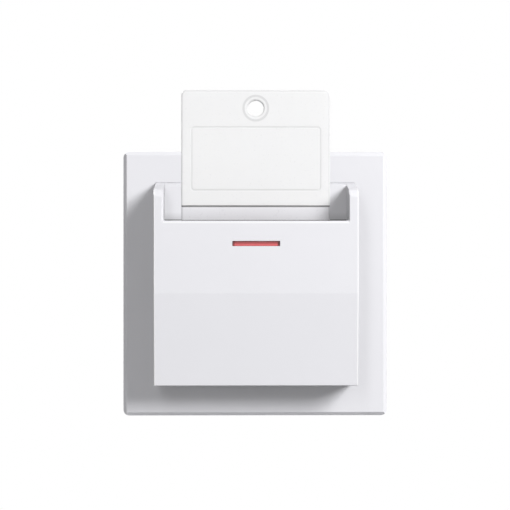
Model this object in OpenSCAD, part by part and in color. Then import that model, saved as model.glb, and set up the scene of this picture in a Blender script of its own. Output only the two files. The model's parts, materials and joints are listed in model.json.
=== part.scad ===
// Hotel key card switch: frame plate, card holder, changeover mechanism and key tag
// X runs to the right, Y runs into the wall and Z runs up; the origin is the middle of the wall face

/* [Frame plate] */
// Side of the square frame plate
plate_side = 81; // [80:0.5:90]
// Depth of the frame plate off the wall
plate_depth = 9; // [8:0.5:12]
// Wall thickness of the frame plate
plate_wall = 2; // [1.5:0.1:2.5]
// Corner radius of the frame plate's outline
plate_corner_r = 2; // [1.2:0.2:4]
// Bevel of the frame plate's front edge
plate_bevel = 1.1; // [0.6:0.1:1.6]
// Rounding of the bevel's two edges
plate_edge_r = 0.5; // [0.2:0.1:0.9]

/* [Card holder] */
// Width of the card holder
cover_w = 61; // [60:0.5:62.5]
// Height of the card holder
cover_h = 61.2; // [60.2:0.1:62]
// Height of the card holder's middle above the frame plate's middle
cover_z = 0.35; // [0:0.05:0.5]
// Reach of the card holder's front face off the wall
cover_reach = 24; // [23.5:0.5:28]
// Thickness of the front wall and the floor
cover_wall = 2; // [1.4:0.1:2.2]
// Thickness of the side walls that end in the two ears
ear_t = 2.8; // [2:0.1:3]
// Slope of the card holder's top in front of the frame plate, in degrees
top_slope = 11; // [4:1:14]
// Rounding of the ears' upper front corners
ear_front_r = 2.5; // [1.5:0.5:4]
// Depth of the notch between the ears
notch_drop = 11.95; // [9:0.05:13]
// Rounding of the front wall's upper rim
rim_r = 0.5; // [0.3:0.1:0.9]
// Distance from the top of the ears to the fold of the front face
fold_drop = 33.55; // [29:0.05:40]
// Lean of the front face below the fold, in degrees
fold_angle = 5; // [1:0.5:6]
// Rounding of the front face's outer edges
cover_edge_r = 0.3; // [0.2:0.1:1]
// Rounding of the ears' inner front edges
ear_edge_r = 0.4; // [0.2:0.1:0.8]
// Rounding of the notch's two lower corners
notch_corner_r = 0.8; // [0.4:0.1:2]

/* [Card pocket] */
// Reach of the pocket's back wall off the wall face
guide_reach = 14; // [13:0.1:14.5]
// Thickness of the pocket's back wall
guide_t = 2; // [1.5:0.1:2.4]
// Depth that a card goes in below the rim
card_drop = 34; // [30:0.5:34]
// Travel of the card slide
slide_travel = 4; // [2:0.5:4]

/* [Locator lamp] */
// Width of the lens slit
lens_w = 14.2; // [8:0.2:20]
// Height of the lens slit
lens_h = 1.5; // [1:0.1:2.5]
// Distance from the rim to the middle of the lens
lens_drop = 6.8; // [5:0.2:9]
// Depth of the lens face below the front face
lens_recess = 0.6; // [0.2:0.1:1.3]

/* [Key tag] */
// Width of the key tag
tag_w = 44.9; // [40:0.1:45.5]
// Length of the key tag
tag_len = 73.6; // [66:0.1:90]
// Length of the thick handle
handle_len = 35; // [32:0.5:37]
// Thickness of the handle
handle_t = 2.4; // [2:0.1:2.6]
// Thickness of the blade
blade_t = 1.4; // [0.8:0.1:1.6]
// Corner radius of the tag
tag_corner_r = 1.7; // [0.8:0.1:3]
// Diameter of the eyelet
eye_d = 4.8; // [3:0.1:6]
// Outer diameter of the raised ring round the eyelet
eye_ring_d = 7.4; // [6.6:0.1:8]
// Height of the raised ring
eye_ring_h = 0.15; // [0.1:0.05:0.4]
// Distance from the top of the tag to the eyelet
eye_drop = 5.5; // [5:0.1:6.5]
// Width of the label field
label_w = 38.8; // [30:0.2:39]
// Height of the label field
label_h = 18.9; // [14:0.1:20]
// Distance from the top of the tag to the label field
label_drop = 11.35; // [10.8:0.05:11.5]
// Width of the groove round the label field
groove_w = 0.5; // [0.3:0.1:0.8]
// Depth of the groove
groove_depth = 0.1; // [0.05:0.05:0.4]

/* [Wall fixing] */
// Gap between the mounting strap's edge and the frame plate's wall
strap_margin = 3; // [1:0.5:3.5]
// Thickness of the mounting strap
strap_t = 1.2; // [1:0.1:1.4]
// Distance between opposite screw slots, as on a flush box
fix_spacing = 60; // [59:0.1:61]
// Width of a screw slot
slot_w = 4.2; // [3.8:0.1:4.4]
// Length of a screw slot
slot_len = 8; // [6:0.5:8]
// Length of a claw behind the strap
claw_len = 18; // [14:0.5:22]
// Width of a claw
claw_w = 8; // [7:0.2:8.4]
// Thickness of a claw's sheet
claw_t = 1.2; // [0.8:0.1:1.4]
// Height of a claw's middle above or below the switch's middle
claw_z = 9; // [8.5:0.1:10]

/* [Mechanism] */
// Width of the mechanism housing
housing_w = 40; // [39.6:0.1:40.6]
// Height of the mechanism housing
housing_h = 42; // [41:0.5:43]
// Depth of the mechanism housing behind the wall face
housing_depth = 26; // [25.5:0.5:32]
// Wall thickness of the mechanism housing
housing_wall = 1.6; // [1.2:0.1:1.8]
// Corner radius of the mechanism housing
housing_corner_r = 3; // [2:0.5:4]
// Rounding of the mechanism housing's rear edge
housing_edge_r = 1.2; // [0.6:0.1:1.5]
// Thickness of the carrier plate
carrier_t = 2.8; // [2.4:0.1:3]
// Side of the square carrier plate
carrier_side = 64; // [63.5:0.5:66]
// Distance from the rocker's pivot to the slide's finger
rocker_arm = 12; // [11.5:0.1:13]
// Diameter of the rocker's pivot pin
rocker_pin_d = 3; // [2:0.1:3.4]
// Distance from the pivot to the changeover contact
contact_arm = 9; // [8:0.1:9.4]
// Distance between neighbouring terminals
terminal_pitch = 10; // [9:0.1:10.4]
// Width of a terminal block
terminal_w = 7; // [6:0.1:7.2]
// Diameter of a terminal's wire hole
wire_d = 3.8; // [2.6:0.1:4]
// Outer diameter of the return spring
spring_od = 3.4; // [2.8:0.1:3.6]
// Wire diameter of the return spring
spring_wire = 0.56; // [0.4:0.02:0.6]
// Length of the return spring with the card in
spring_len = 7.5; // [7:0.1:7.6]
// Number of turns of the return spring
spring_turns = 5; // [3:1:5]

/* [Clearances] */
// Gap between pieces that are slipped together
fit_gap = 0.2; // [0.1:0.05:0.3]
// Gap between the card holder and the frame plate's window
window_gap = 0.06; // [0.05:0.01:0.2]
// Gap beside pieces that slide
slide_gap = 0.3; // [0.2:0.05:0.4]
// Radial gap of a pin in its bore
run_gap = 0.05; // [0.02:0.01:0.1]

/* [Hidden] */

$fn = 48;
arc_steps = 6;
past = 1;

white = "#f1f2f4";
lamp_red = "#d6404a";
steel = "#c3c7cb";
brass = "#c8a24c";
body_grey = "#d9dad8";
board_green = "#2f6a45";

// Depths off the wall face and heights that several pieces share
carrier_reach = strap_t + carrier_t;
strap_side = plate_side - 2 * (plate_wall + strap_margin);
strap_corner_r = 5;
window_lip_t = 1.2;
window_lip_h = 2;
pocket_w = cover_w - 2 * ear_t;
cover_top = cover_z + cover_h / 2;
cover_foot = cover_z - cover_h / 2;
ear_front_top = cover_top - (cover_reach - plate_depth) * tan(top_slope);
guide_front_top = cover_top - (guide_reach - plate_depth) * tan(top_slope);
rim_z = cover_top - notch_drop;
fold_z = cover_top - fold_drop;
lean = (fold_z - cover_foot) * tan(fold_angle);
foot_reach = cover_reach - lean;
floor_z = cover_foot + cover_wall;
inner_reach = cover_reach - cover_wall;
inner_foot_reach = inner_reach - (fold_z - floor_z) * tan(fold_angle);
lens_z = rim_z - lens_drop;

// Key tag and card slide
tag_back = guide_reach + slide_gap;
slider_top = rim_z - card_drop;
slider_t = 3.7;
slider_w = 46;
slider_h = 8;
slider_bottom = slider_top - slider_h;
slider_lip_h = 1.5;
slider_lip_t = 0.8;
tag_top = slider_top + tag_len;
step_z = tag_top - handle_len;
rail_t = 2.2;
rail_lip = 1.4;
relief_w = 11.5;
relief_x = 13.5;
relief_h = 4;

// Return spring under the slide
spring_pocket_r = spring_od / 2 + fit_gap;
spring_pocket_h = 4;
spring_wall = 0.8;
spring_box_w = 2 * (spring_pocket_r + spring_wall);
spring_reach = tag_back + spring_wall + spring_pocket_r;
spring_top = slider_bottom + spring_pocket_h;
spring_foot = spring_top - spring_len;
seat_w = 12;
spigot_h = 1.9;

// Leaf that grips the card, from its seat on the front wall to its bow on the blade
clamp_t = 0.4;
clamp_w = 12;
clamp_bend_r = 1.6;
clamp_lift = 6;
clamp_seat_l = 4.6;
clamp_drop = 4.4;
clamp_tail = 3.6;
clamp_flare = 3;

// Finger that leads from the slide to the rocker
bar_w = 8;
bar_t = 3;
bar_back = guide_reach - guide_t - slide_gap - bar_t;
neck_rise = 2;
neck_foot = slider_bottom + neck_rise;
neck_h = 4;
finger_r = 1;
finger_neck = 1.4;
finger_w = 6;

// Rocker and contacts, on an axis across the housing
pivot_y = rocker_arm;
hub_wall = 2;
hub_r = rocker_pin_d / 2 + hub_wall;
lever_w = 7;
lever_step = 0.4;
lever_lip = 1.2;
fork_gap = 1.3;
fork_wall = 1.7;
fork_reach = 0.8;
collar_t = 2.8;
collar_wall = 1.2;
blade_strip = 0.8;
blade_root = pivot_y + rocker_pin_d / 2 + collar_wall + fit_gap;
contact_r = 1.6;
contact_h = 0.8;
contact_y = pivot_y + contact_arm;
swing = slide_travel / rocker_arm * 180 / PI;
closed_z = blade_strip / 2 + contact_h + run_gap;
open_gap = 0.15;
open_z = -(contact_arm + contact_r) * sin(swing) - (blade_strip / 2 + contact_h) * cos(swing) - open_gap;
strip_w = 6;
leg_t = 1;
leg_top = 10;
cheek_wall = 1.5;
bracket_w = lever_w + 2 * (collar_t + slide_gap + leg_t);

// Mechanism housing and terminals
cavity_depth = housing_depth - housing_wall;
cavity_floor = housing_wall - housing_h / 2;
terminal_h = 8.4;
terminal_top = cavity_floor + terminal_h;
terminal_d = 10.4;
wire_drop = 3.6;
wire_z = terminal_top - wire_drop;
wire_end = 2;
wire_funnel = 0.6;
terminal_screw_r = 1.5;
terminal_head_r = 2.5;
terminal_screw_y = cavity_depth - terminal_d / 2;
terminal_slot_t = 0.7;
terminal_slot_h = 0.8;
terminal_rib_t = 1.2;
boss_r = 2.2;
boss_depth = 12;
boss_inset = 2;
screw_r = 1;
screw_head_r = 2.4;
screw_head_h = 2;
screw_drive_t = 0.7;
screw_drive_w = 2.9;
screw_drive_h = 1;
screw_spare = 1;
screw_x = housing_w / 2 - housing_wall - boss_inset;
screw_z = housing_h / 2 - housing_wall - boss_inset;
screw_stand = 5.5;
screw_seat = carrier_reach + screw_stand;
leg_r = 3.2;
flange_t = 1.2;
flange_w = 24;
flange_reach = 3;
flange_corner_r = 1;
carrier_corner_r = 3;
screw_notch_w = 10;
screw_notch_margin = 0.6;

// Locator lamp board
board_gap = 0.7;
board_w = 2 * (screw_x - leg_r - board_gap);
board_h = 10.4;
board_t = 1.2;
board_corner_r = 1;
board_drop = 5.2;
post_h = 3.8;
board_back = carrier_reach + post_h;
board_front = board_back + board_t;
board_foot = lens_z - board_drop;
pin_r = 0.5;
pin_margin = 2.5;
pin_x = board_w / 2 - pin_margin;
pin_z = 8;
post_r = 1.5;
post_x = 8;
post_rise = 3;
post_z = lens_z + post_rise;
led_r = 1.5;
led_flange_r = 1.9;
led_flange_h = 0.8;
led_dome_r = 1.2;
pin_stub = 0.4;
resistor_r = 1;
resistor_l = 5;
resistor_span = 8;
resistor_lead_r = 0.3;
resistor_x = 5.6;
resistor_rise = 2.2;
lens_flange = 1.4;
lens_flange_t = 0.8;

// Claws, and the strap's lugs that carry them
claw_pin_r = 0.9;
knuckle_r = 1.7;
claw_clear = 0.7;
claw_x = housing_w / 2 + knuckle_r + claw_clear;
claw_y = knuckle_r + fit_gap;
lug_t = 1.2;
lug_w = 3.2;
lug_round_r = 1.4;
claw_screw_r = 1.25;
claw_screw_offset = 3.2;
claw_screw_x = claw_x + claw_screw_offset;
claw_screw_l = 10;
claw_head_r = 2.6;
claw_head_h = 1.6;
claw_drive_t = 0.7;
claw_drive_h = 0.8;
claw_ear_r = 3.2;
claw_hole_r = 2;
claw_slot_w = 3.6;
claw_slot_from = 0.4;
claw_ear_from = 0.5;
claw_tooth = 1.5;
claw_tooth_l = 3;
claw_heel = 2;
claw_bend_r = 1;
claw_pin_stub = 0.3;

// Snaps that hold the cover and the frame plate on the carrier
snap_z = 20;
snap_w = 8;
snap_t = 1.2;
snap_barb = 0.3;
latch_z = 16;
latch_w = 7;
latch_t = 1.2;
latch_lip = 0.8;
latch_lip_h = 0.8;

// Outlines

function unit(v) = v / norm(v);

// Points of an arc of radius r that rounds the corner p between its neighbours a and b
function corner_arc(a, p, b, r) =
    r <= 0 ? [p] :
    let (
        u = unit(a - p),
        v = unit(b - p),
        half = acos(u * v) / 2,
        middle = p + unit(u + v) * r / sin(half),
        first = p + u * r / tan(half) - middle,
        last = p + v * r / tan(half) - middle,
        turn = 180 - 2 * half
    )
    [for (i = [0 : arc_steps])
        middle + (first * sin(turn * (1 - i / arc_steps)) + last * sin(turn * i / arc_steps)) / sin(turn)];

// Closed outline with a radius for each of its corners
function rounded(points, radii) =
    let (n = len(points))
    [for (i = [0 : n - 1])
        each corner_arc(points[(i + n - 1) % n], points[i], points[(i + 1) % n], radii[i])];

// Open line with all its bends rounded to one radius
function bent(points, r) =
    let (n = len(points))
    [for (i = [0 : n - 1])
        each corner_arc(points[max(i - 1, 0)], points[i], points[min(i + 1, n - 1)],
                        i == 0 || i == n - 1 ? 0 : r)];

// Outline of a sheet of thickness t that follows a line
function ribbon(line, t) =
    let (
        n = len(line),
        sides = [for (i = [0 : n - 1])
            let (along = unit(line[min(i + 1, n - 1)] - line[max(i - 1, 0)]))
            [-along[1], along[0]] * t / 2]
    )
    concat([for (i = [0 : n - 1]) line[i] + sides[i]], [for (i = [n - 1 : -1 : 0]) line[i] - sides[i]]);

function box_corners(w, h) = [[-w, -h] / 2, [w, -h] / 2, [w, h] / 2, [-w, h] / 2];

function rounded_box(w, h, r) = rounded(box_corners(w, h), [r, r, r, r]);

// Section of a plate on the wall whose two front edges are bevelled, with softened bevels
function front_bevelled(w, d, b, r) = rounded(
    [[-w / 2, 0], [-w / 2, b - d], [b - w / 2, -d], [w / 2 - b, -d], [w / 2, b - d], [w / 2, 0]],
    [0, r, r, r, r, 0]
);

module slot_outline(length, width) {
    square([length - width, width], center = true);
    for (side = [-1, 1])
        translate([side * (length - width) / 2, 0])
            circle(d = width);
}

// Extrudes an outline drawn in X and Z between two distances off the wall face
module slab(near, far) {
    translate([0, -near, 0])
        rotate([90, 0, 0])
            linear_extrude(far - near)
                children();
}

// Extrudes an outline drawn in Z and Y across X
module across(width) {
    rotate([0, -90, 0])
        linear_extrude(width, center = true)
            children();
}

// Extrudes an outline drawn in X and Y up and down Z
module upright(height) {
    linear_extrude(height, center = true)
        children();
}

// Round bar or bore along Y between two distances off the wall face
module rod(x, z, r, near, far) {
    translate([x, -near, z])
        rotate([90, 0, 0])
            cylinder(r = r, h = far - near);
}

// Round bar or bore across X
module axle(y, z, r, length) {
    translate([0, y, z])
        rotate([0, 90, 0])
            cylinder(r = r, h = length, center = true);
}

module mirrored_pair() {
    for (side = [0, 1])
        mirror([side, 0, 0])
            children();
}

module half_turn_pair() {
    for (turn = [0, 180])
        rotate([0, turn, 0])
            children();
}

// Frame plate

module frame_latch() {
    inner = carrier_side / 2 + fit_gap;
    root = plate_wall / 2 - plate_depth;
    tip = -strap_t - fit_gap;
    upright(latch_w)
        polygon([
            [inner, root],
            [inner + latch_t, root],
            [inner + latch_t, tip],
            [inner, tip],
            [inner - latch_lip, tip - latch_lip_h / 2],
            [inner - latch_lip, tip - latch_lip_h],
            [inner, tip - latch_lip_h]
        ]);
}

module cover_window(margin) {
    translate([0, cover_z])
        square([cover_w, cover_h] + [margin, margin] * 2, center = true);
}

module frame_plate() color(white) {
    plate_section = front_bevelled(plate_side, plate_depth, plate_bevel, plate_edge_r);
    difference() {
        intersection() {
            slab(0, plate_depth) polygon(rounded_box(plate_side, plate_side, plate_corner_r));
            upright(plate_side) polygon(plate_section);
            across(plate_side) polygon(plate_section);
        }
        slab(-past, plate_depth - plate_wall) square(plate_side - 2 * plate_wall, center = true);
        slab(-past, plate_depth + past) cover_window(window_gap);
    }
    slab(plate_depth - plate_wall - window_lip_h, plate_depth - plate_wall / 2)
        difference() {
            cover_window(window_gap + window_lip_t);
            cover_window(window_gap);
        }
    mirrored_pair()
        for (z = [-latch_z, latch_z])
            translate([0, 0, z])
                frame_latch();
}

// Card holder

function ear_profile() = rounded(
    [
        [cover_foot, -carrier_reach],
        [cover_foot, -foot_reach],
        [fold_z, -cover_reach],
        [ear_front_top, -cover_reach],
        [cover_top, -plate_depth],
        [cover_top, -carrier_reach]
    ],
    [0, cover_edge_r, 0, ear_front_r, 0, 0]
);

function front_wall_profile() = rounded(
    [
        [cover_foot, -carrier_reach],
        [cover_foot, -foot_reach],
        [fold_z, -cover_reach],
        [rim_z, -cover_reach],
        [rim_z, -inner_reach],
        [fold_z, -inner_reach],
        [floor_z, -inner_foot_reach],
        [floor_z, -carrier_reach]
    ],
    [0, cover_edge_r, 0, rim_r, rim_r, 0, cover_edge_r, 0]
);

// Cuts a round of radius r along an upright edge, with the piece on the +X, +Y side
module edge_round(r, length) {
    linear_extrude(length)
        difference() {
            translate([-past, -past]) square(r + past);
            translate([r, r]) circle(r);
        }
}

module cover_edge_rounds() {
    translate([-cover_w / 2, -cover_reach, fold_z])
        edge_round(cover_edge_r, cover_top - fold_z + past);
    translate([-cover_w / 2, -cover_reach, fold_z])
        rotate([fold_angle, 0, 0])
            translate([0, 0, -cover_h])
                edge_round(cover_edge_r, cover_h);
}

module ear_edge_round() {
    translate([pocket_w / 2, -cover_reach, rim_z])
        edge_round(ear_edge_r, ear_front_top - rim_z);
}

// Fillet between the rim and an ear
module notch_corner() {
    slab(inner_reach + rim_r, cover_reach - rim_r)
        translate([pocket_w / 2, rim_z])
            difference() {
                translate([-notch_corner_r, -past]) square(notch_corner_r + past);
                translate([-notch_corner_r, notch_corner_r]) circle(notch_corner_r);
            }
}

module cover_snap() {
    middle = (cover_w - ear_t) / 2;
    tip = -strap_t - fit_gap;
    upright(snap_w)
        polygon([
            [middle - snap_t / 2, -carrier_reach - past],
            [middle + snap_t / 2, -carrier_reach - past],
            [middle + snap_t / 2, tip - snap_t],
            [middle + snap_t / 2 + snap_barb, tip - snap_t / 2],
            [middle + snap_t / 2, tip],
            [middle - snap_t / 2, tip]
        ]);
}

module front_cover() color(white) {
    difference() {
        union() {
            mirrored_pair()
                translate([(cover_w - ear_t) / 2, 0, 0])
                    across(ear_t)
                        polygon(ear_profile());
            across(cover_w - ear_t) polygon(front_wall_profile());
            mirrored_pair() notch_corner();
        }
        mirrored_pair() cover_edge_rounds();
        mirrored_pair() ear_edge_round();
        slab(inner_reach - past, cover_reach + past)
            translate([0, lens_z])
                square([lens_w, lens_h], center = true);
    }
    mirrored_pair()
        for (z = [-snap_z, snap_z])
            translate([0, 0, z])
                cover_snap();
}

module indicator_lens() color(lamp_red) {
    slab(inner_reach, cover_reach - lens_recess)
        translate([0, lens_z])
            square([lens_w, lens_h] - [run_gap, run_gap] * 2, center = true);
    slab(inner_reach - lens_flange_t, inner_reach)
        translate([0, lens_z])
            square([lens_w, lens_h] + [lens_flange, lens_flange] * 2, center = true);
}

// Card pocket

function guide_profile() = rounded(
    [
        [floor_z + fit_gap, -guide_reach],
        [guide_front_top, -guide_reach],
        [cover_top, -plate_depth],
        [cover_top, -carrier_reach],
        [cover_top - guide_t, -carrier_reach],
        [guide_front_top - guide_t, guide_t - guide_reach],
        [floor_z + fit_gap, guide_t - guide_reach]
    ],
    [0, cover_edge_r / 2, 0, 0, 0, cover_edge_r, 0]
);

// Rail with a lip that keeps the slide on the pocket's back wall
module guide_rail() {
    inner = slider_w / 2 + slide_gap;
    front = tag_back + slider_t + slide_gap;
    rail_foot = floor_z + fit_gap;
    translate([0, 0, (rail_foot + slider_top) / 2])
        upright(slider_top - rail_foot)
            polygon([
                [inner, past - guide_reach],
                [inner + rail_t, past - guide_reach],
                [inner + rail_t, -front - slider_lip_t],
                [inner - rail_lip, -front - slider_lip_t],
                [inner - rail_lip, -front],
                [inner, -front]
            ]);
}

module screw_places() {
    for (x = [-screw_x, screw_x])
        for (z = [-screw_z, screw_z])
            translate([x, 0, z])
                children();
}

module card_guide() color(white) {
    difference() {
        union() {
            across(pocket_w - 2 * run_gap) polygon(guide_profile());
            screw_places() rod(0, 0, leg_r, carrier_reach, guide_reach - guide_t / 2);
            mirrored_pair() guide_rail();
            translate([0, -spring_reach - spring_pocket_r, floor_z + fit_gap])
                translate([-seat_w / 2, 0, 0])
                    cube([seat_w, spring_reach + spring_pocket_r - guide_reach + guide_t / 2,
                          spring_foot - floor_z - fit_gap]);
            translate([0, -spring_reach, spring_foot - past])
                cylinder(r = spring_od / 2 - spring_wire - fit_gap, h = past + spigot_h);
        }
        slab(guide_reach - guide_t - past, guide_reach + past)
            translate([0, neck_foot + (neck_h + slide_travel) / 2])
                square([bar_w, neck_h + slide_travel] + [slide_gap, slide_gap] * 2, center = true);
        slab(guide_reach - guide_t - past, guide_reach + past)
            translate([0, lens_z])
                square([lens_w, lens_h], center = true);
        screw_places() {
            rod(0, 0, screw_r + fit_gap, carrier_reach - past, guide_reach);
            rod(0, 0, screw_head_r + fit_gap, screw_seat, guide_reach + past);
        }
    }
}

module card_clamp() color(steel) {
    bow_z = slider_top + slide_travel + clamp_lift;
    seat = clamp_t / 2 - inner_reach;
    touch = -tag_back - blade_t - run_gap - clamp_t / 2;
    line = [
        [bow_z + clamp_drop + clamp_seat_l, seat],
        [bow_z + clamp_drop, seat],
        [bow_z, touch],
        [bow_z - clamp_tail, touch - clamp_flare]
    ];
    across(clamp_w) polygon(ribbon(bent(line, clamp_bend_r), clamp_t));
}

module card_slider() color(body_grey) {
    difference() {
        union() {
            slab(tag_back, tag_back + slider_t)
                translate([0, (slider_bottom + slider_top) / 2])
                    square([slider_w, slider_h], center = true);
            slab(tag_back + slider_t - slider_lip_t, tag_back + slider_t)
                translate([0, slider_top])
                    square([tag_w / 2, 2 * slider_lip_h], center = true);
            slab(tag_back, spring_reach + spring_pocket_r + spring_wall)
                translate([0, slider_bottom + (spring_pocket_h + spring_wall) / 2])
                    square([spring_box_w, spring_pocket_h + spring_wall], center = true);
            slab(bar_back, tag_back + past)
                translate([0, neck_foot + neck_h / 2])
                    square([bar_w, neck_h], center = true);
            slab(bar_back, bar_back + bar_t)
                translate([0, (neck_foot + finger_r + past) / 2])
                    square([bar_w, finger_r + past - neck_foot], center = true);
            slab(0, bar_back + past)
                square([finger_w, finger_neck], center = true);
            axle(0, 0, finger_r, finger_w);
        }
        translate([0, -spring_reach, slider_bottom - past])
            cylinder(r = spring_pocket_r, h = spring_pocket_h + past);
        mirrored_pair()
            slab(tag_back + slider_t / 2, tag_back + slider_t + past)
                translate([relief_x, (slider_bottom + slider_top) / 2])
                    square([relief_w, relief_h], center = true);
    }
}

// Return spring, one tube along a helix

spring_rings = 8;
spring_sides = 6;
spring_r = (spring_od - spring_wire) / 2;
spring_pitch = (spring_len - spring_wire) / spring_turns;

function coil_point(turn) =
    [spring_r * cos(360 * turn), spring_r * sin(360 * turn), spring_wire / 2 + spring_pitch * turn];

function coil_ring(turn) =
    let (
        out = [cos(360 * turn), sin(360 * turn), 0],
        along = unit([-2 * PI * spring_r * out[1], 2 * PI * spring_r * out[0], spring_pitch]),
        up = cross(out, along)
    )
    [for (k = [0 : spring_sides - 1])
        coil_point(turn)
        + (out * cos(360 * k / spring_sides) + up * sin(360 * k / spring_sides)) * spring_wire / 2];

spring_steps = spring_turns * spring_rings;
coil_line = [for (i = [0 : spring_steps]) coil_point(i / spring_rings)];
coil_gap = min([for (i = [0 : spring_steps])
    for (j = [i + spring_rings / 2 : 1 : spring_steps])
        norm(coil_line[i] - coil_line[j])]) - spring_wire;
echo(return_spring_least_gap = coil_gap);

module return_spring() color(steel) {
    n = spring_sides;
    points = [for (i = [0 : spring_steps]) each coil_ring(i / spring_rings)];
    walls = [for (i = [0 : spring_steps - 1])
        for (k = [0 : n - 1])
            let (
                a = i * n + k,
                b = i * n + (k + 1) % n
            )
            each [[a, b, a + n], [b, b + n, a + n]]];
    first_cap = [for (k = [1 : n - 2]) [0, k + 1, k]];
    last_cap = [for (k = [1 : n - 2]) [spring_steps * n, spring_steps * n + k, spring_steps * n + k + 1]];
    translate([0, -spring_reach, spring_foot])
        polyhedron(points = points, faces = concat(walls, first_cap, last_cap));
}

// Key tag

module label_outline(grow) {
    polygon(rounded_box(label_w + grow, label_h + grow, tag_corner_r / 2 + grow / 2));
}

module key_tag() color(white) {
    blade_top = step_z + past;
    tag_front = tag_back + handle_t;
    difference() {
        union() {
            slab(tag_back, tag_front)
                translate([0, step_z + handle_len / 2])
                    polygon(rounded(box_corners(tag_w, handle_len), [0, 0, tag_corner_r, tag_corner_r]));
            slab(tag_back, tag_back + blade_t)
                translate([0, (slider_top + blade_top) / 2])
                    polygon(rounded(box_corners(tag_w, blade_top - slider_top),
                                    [tag_corner_r, tag_corner_r, 0, 0]));
            translate([0, -tag_front, tag_top - eye_drop])
                rotate([90, 0, 0])
                    cylinder(d1 = eye_ring_d, d2 = (eye_ring_d + eye_d) / 2, h = eye_ring_h);
        }
        rod(0, tag_top - eye_drop, eye_d / 2, tag_back - past, tag_front + past);
        slab(tag_front - groove_depth, tag_front + past)
            translate([0, tag_top - label_drop - label_h / 2])
                difference() {
                    label_outline(groove_w);
                    label_outline(-groove_w);
                }
    }
}

// Changeover mechanism

module rocker_lever() color(body_grey) {
    fork_half = fork_gap + fork_wall;
    front_half = hub_r - lever_step;
    back_half = front_half - lever_step;
    rear_half = blade_strip / 2 + lever_lip;
    difference() {
        across(lever_w)
            union() {
                translate([0, pivot_y]) circle(hub_r);
                polygon([
                    [-fork_half, -fork_reach],
                    [fork_half, -fork_reach],
                    [fork_half, finger_r + 2 * fork_wall],
                    [front_half, pivot_y],
                    [-front_half, pivot_y],
                    [-fork_half, finger_r + 2 * fork_wall]
                ]);
                polygon([
                    [-back_half, pivot_y],
                    [back_half, pivot_y],
                    [rear_half, contact_y - contact_r - past],
                    [-rear_half, contact_y - contact_r - past]
                ]);
            }
        across(lever_w + past)
            translate([0, (finger_r + slide_gap - fork_reach - past) / 2])
                square([2 * fork_gap, finger_r + slide_gap + fork_reach + past], center = true);
        across(strip_w)
            translate([-blade_strip / 2, blade_root])
                square([blade_strip, contact_arm + contact_r]);
        axle(pivot_y, 0, rocker_pin_d / 2 + run_gap, lever_w + past);
    }
    mirrored_pair()
        translate([lever_w / 2, 0, 0])
            rocker_collar();
}

// Collar that keeps the lever in the middle of its bracket
module rocker_collar() {
    difference() {
        translate([collar_t / 2 - past / 2, 0, 0])
            axle(pivot_y, 0, rocker_pin_d / 2 + collar_wall, collar_t + past);
        axle(pivot_y, 0, rocker_pin_d / 2 + run_gap, 4 * collar_t);
    }
}

module rocker_pin() color(steel) {
    axle(pivot_y, 0, rocker_pin_d / 2, bracket_w + 2 * leg_t);
}

module common_bracket() color(brass) {
    cheek_half = rocker_pin_d / 2 + cheek_wall;
    difference() {
        union() {
            translate([-bracket_w / 2, pivot_y - cheek_half, terminal_top])
                cube([bracket_w, cavity_depth - terminal_d / 2 - pivot_y + cheek_half, leg_t]);
            mirrored_pair()
                translate([(bracket_w - leg_t) / 2, 0, 0])
                    across(leg_t) {
                        translate([0, pivot_y]) circle(cheek_half);
                        translate([terminal_top, pivot_y - cheek_half])
                            square([-terminal_top, 2 * cheek_half]);
                    }
        }
        axle(pivot_y, 0, rocker_pin_d / 2 + run_gap / 2, bracket_w + past);
    }
}

module contact_button(z, h) {
    translate([0, contact_y, z])
        cylinder(r = contact_r, h = h);
}

module moving_contact() color(brass) {
    translate([-strip_w / 2, blade_root, -blade_strip / 2])
        cube([strip_w, contact_y + contact_r - blade_root, blade_strip]);
    contact_button(-blade_strip / 2 - contact_h, blade_strip + 2 * contact_h);
}

// Brass strip from a terminal up the housing's rear wall, with a finger at height z
module contact_strip(z) {
    strip_end = terminal_pitch + strip_w / 2;
    translate([-strip_w / 2, contact_y - contact_r, z])
        cube([strip_end + strip_w / 2, cavity_depth - contact_y + contact_r, blade_strip]);
    translate([terminal_pitch - strip_w / 2, cavity_depth - leg_t, terminal_top])
        cube([strip_w, leg_t, leg_top - terminal_top]);
}

module contact_on() color(brass) {
    contact_strip(closed_z + contact_h);
    contact_button(closed_z, contact_h);
}

module contact_off() color(brass) {
    mirror([1, 0, 0]) contact_strip(open_z - contact_h - blade_strip);
    contact_button(open_z - contact_h, contact_h);
}

module terminal_places() {
    for (i = [-1 : 1])
        translate([i * terminal_pitch, 0, 0])
            children();
}

module terminal_blocks() color(brass) {
    terminal_places()
        difference() {
            translate([-terminal_w / 2, cavity_depth - terminal_d, cavity_floor])
                cube([terminal_w, terminal_d, terminal_h]);
            rod(0, wire_z, wire_d / 2, -cavity_depth - past, terminal_d - cavity_depth - wire_end);
            translate([0, terminal_screw_y, cavity_floor - past])
                cylinder(r = terminal_screw_r + run_gap, h = wire_z - cavity_floor + past);
        }
}

module terminal_screws() color(steel) {
    terminal_places()
        translate([0, terminal_screw_y, cavity_floor])
            difference() {
                union() {
                    cylinder(r = terminal_screw_r, h = wire_z - wire_d / 2 - cavity_floor);
                    translate([0, 0, -housing_wall])
                        cylinder(r = terminal_head_r, h = housing_wall);
                }
                translate([-terminal_head_r, -terminal_slot_t / 2, -housing_wall - past])
                    cube([2 * terminal_head_r, terminal_slot_t, terminal_slot_h + past]);
            }
}

// Locator lamp

module lamp_board() color(board_green) {
    difference() {
        slab(board_back, board_front)
            translate([0, board_foot + board_h / 2])
                polygon(rounded_box(board_w, board_h, board_corner_r));
        for (x = [-pin_x, pin_x])
            rod(x, pin_z, pin_r, board_back - past, board_front + past);
    }
}

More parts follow.
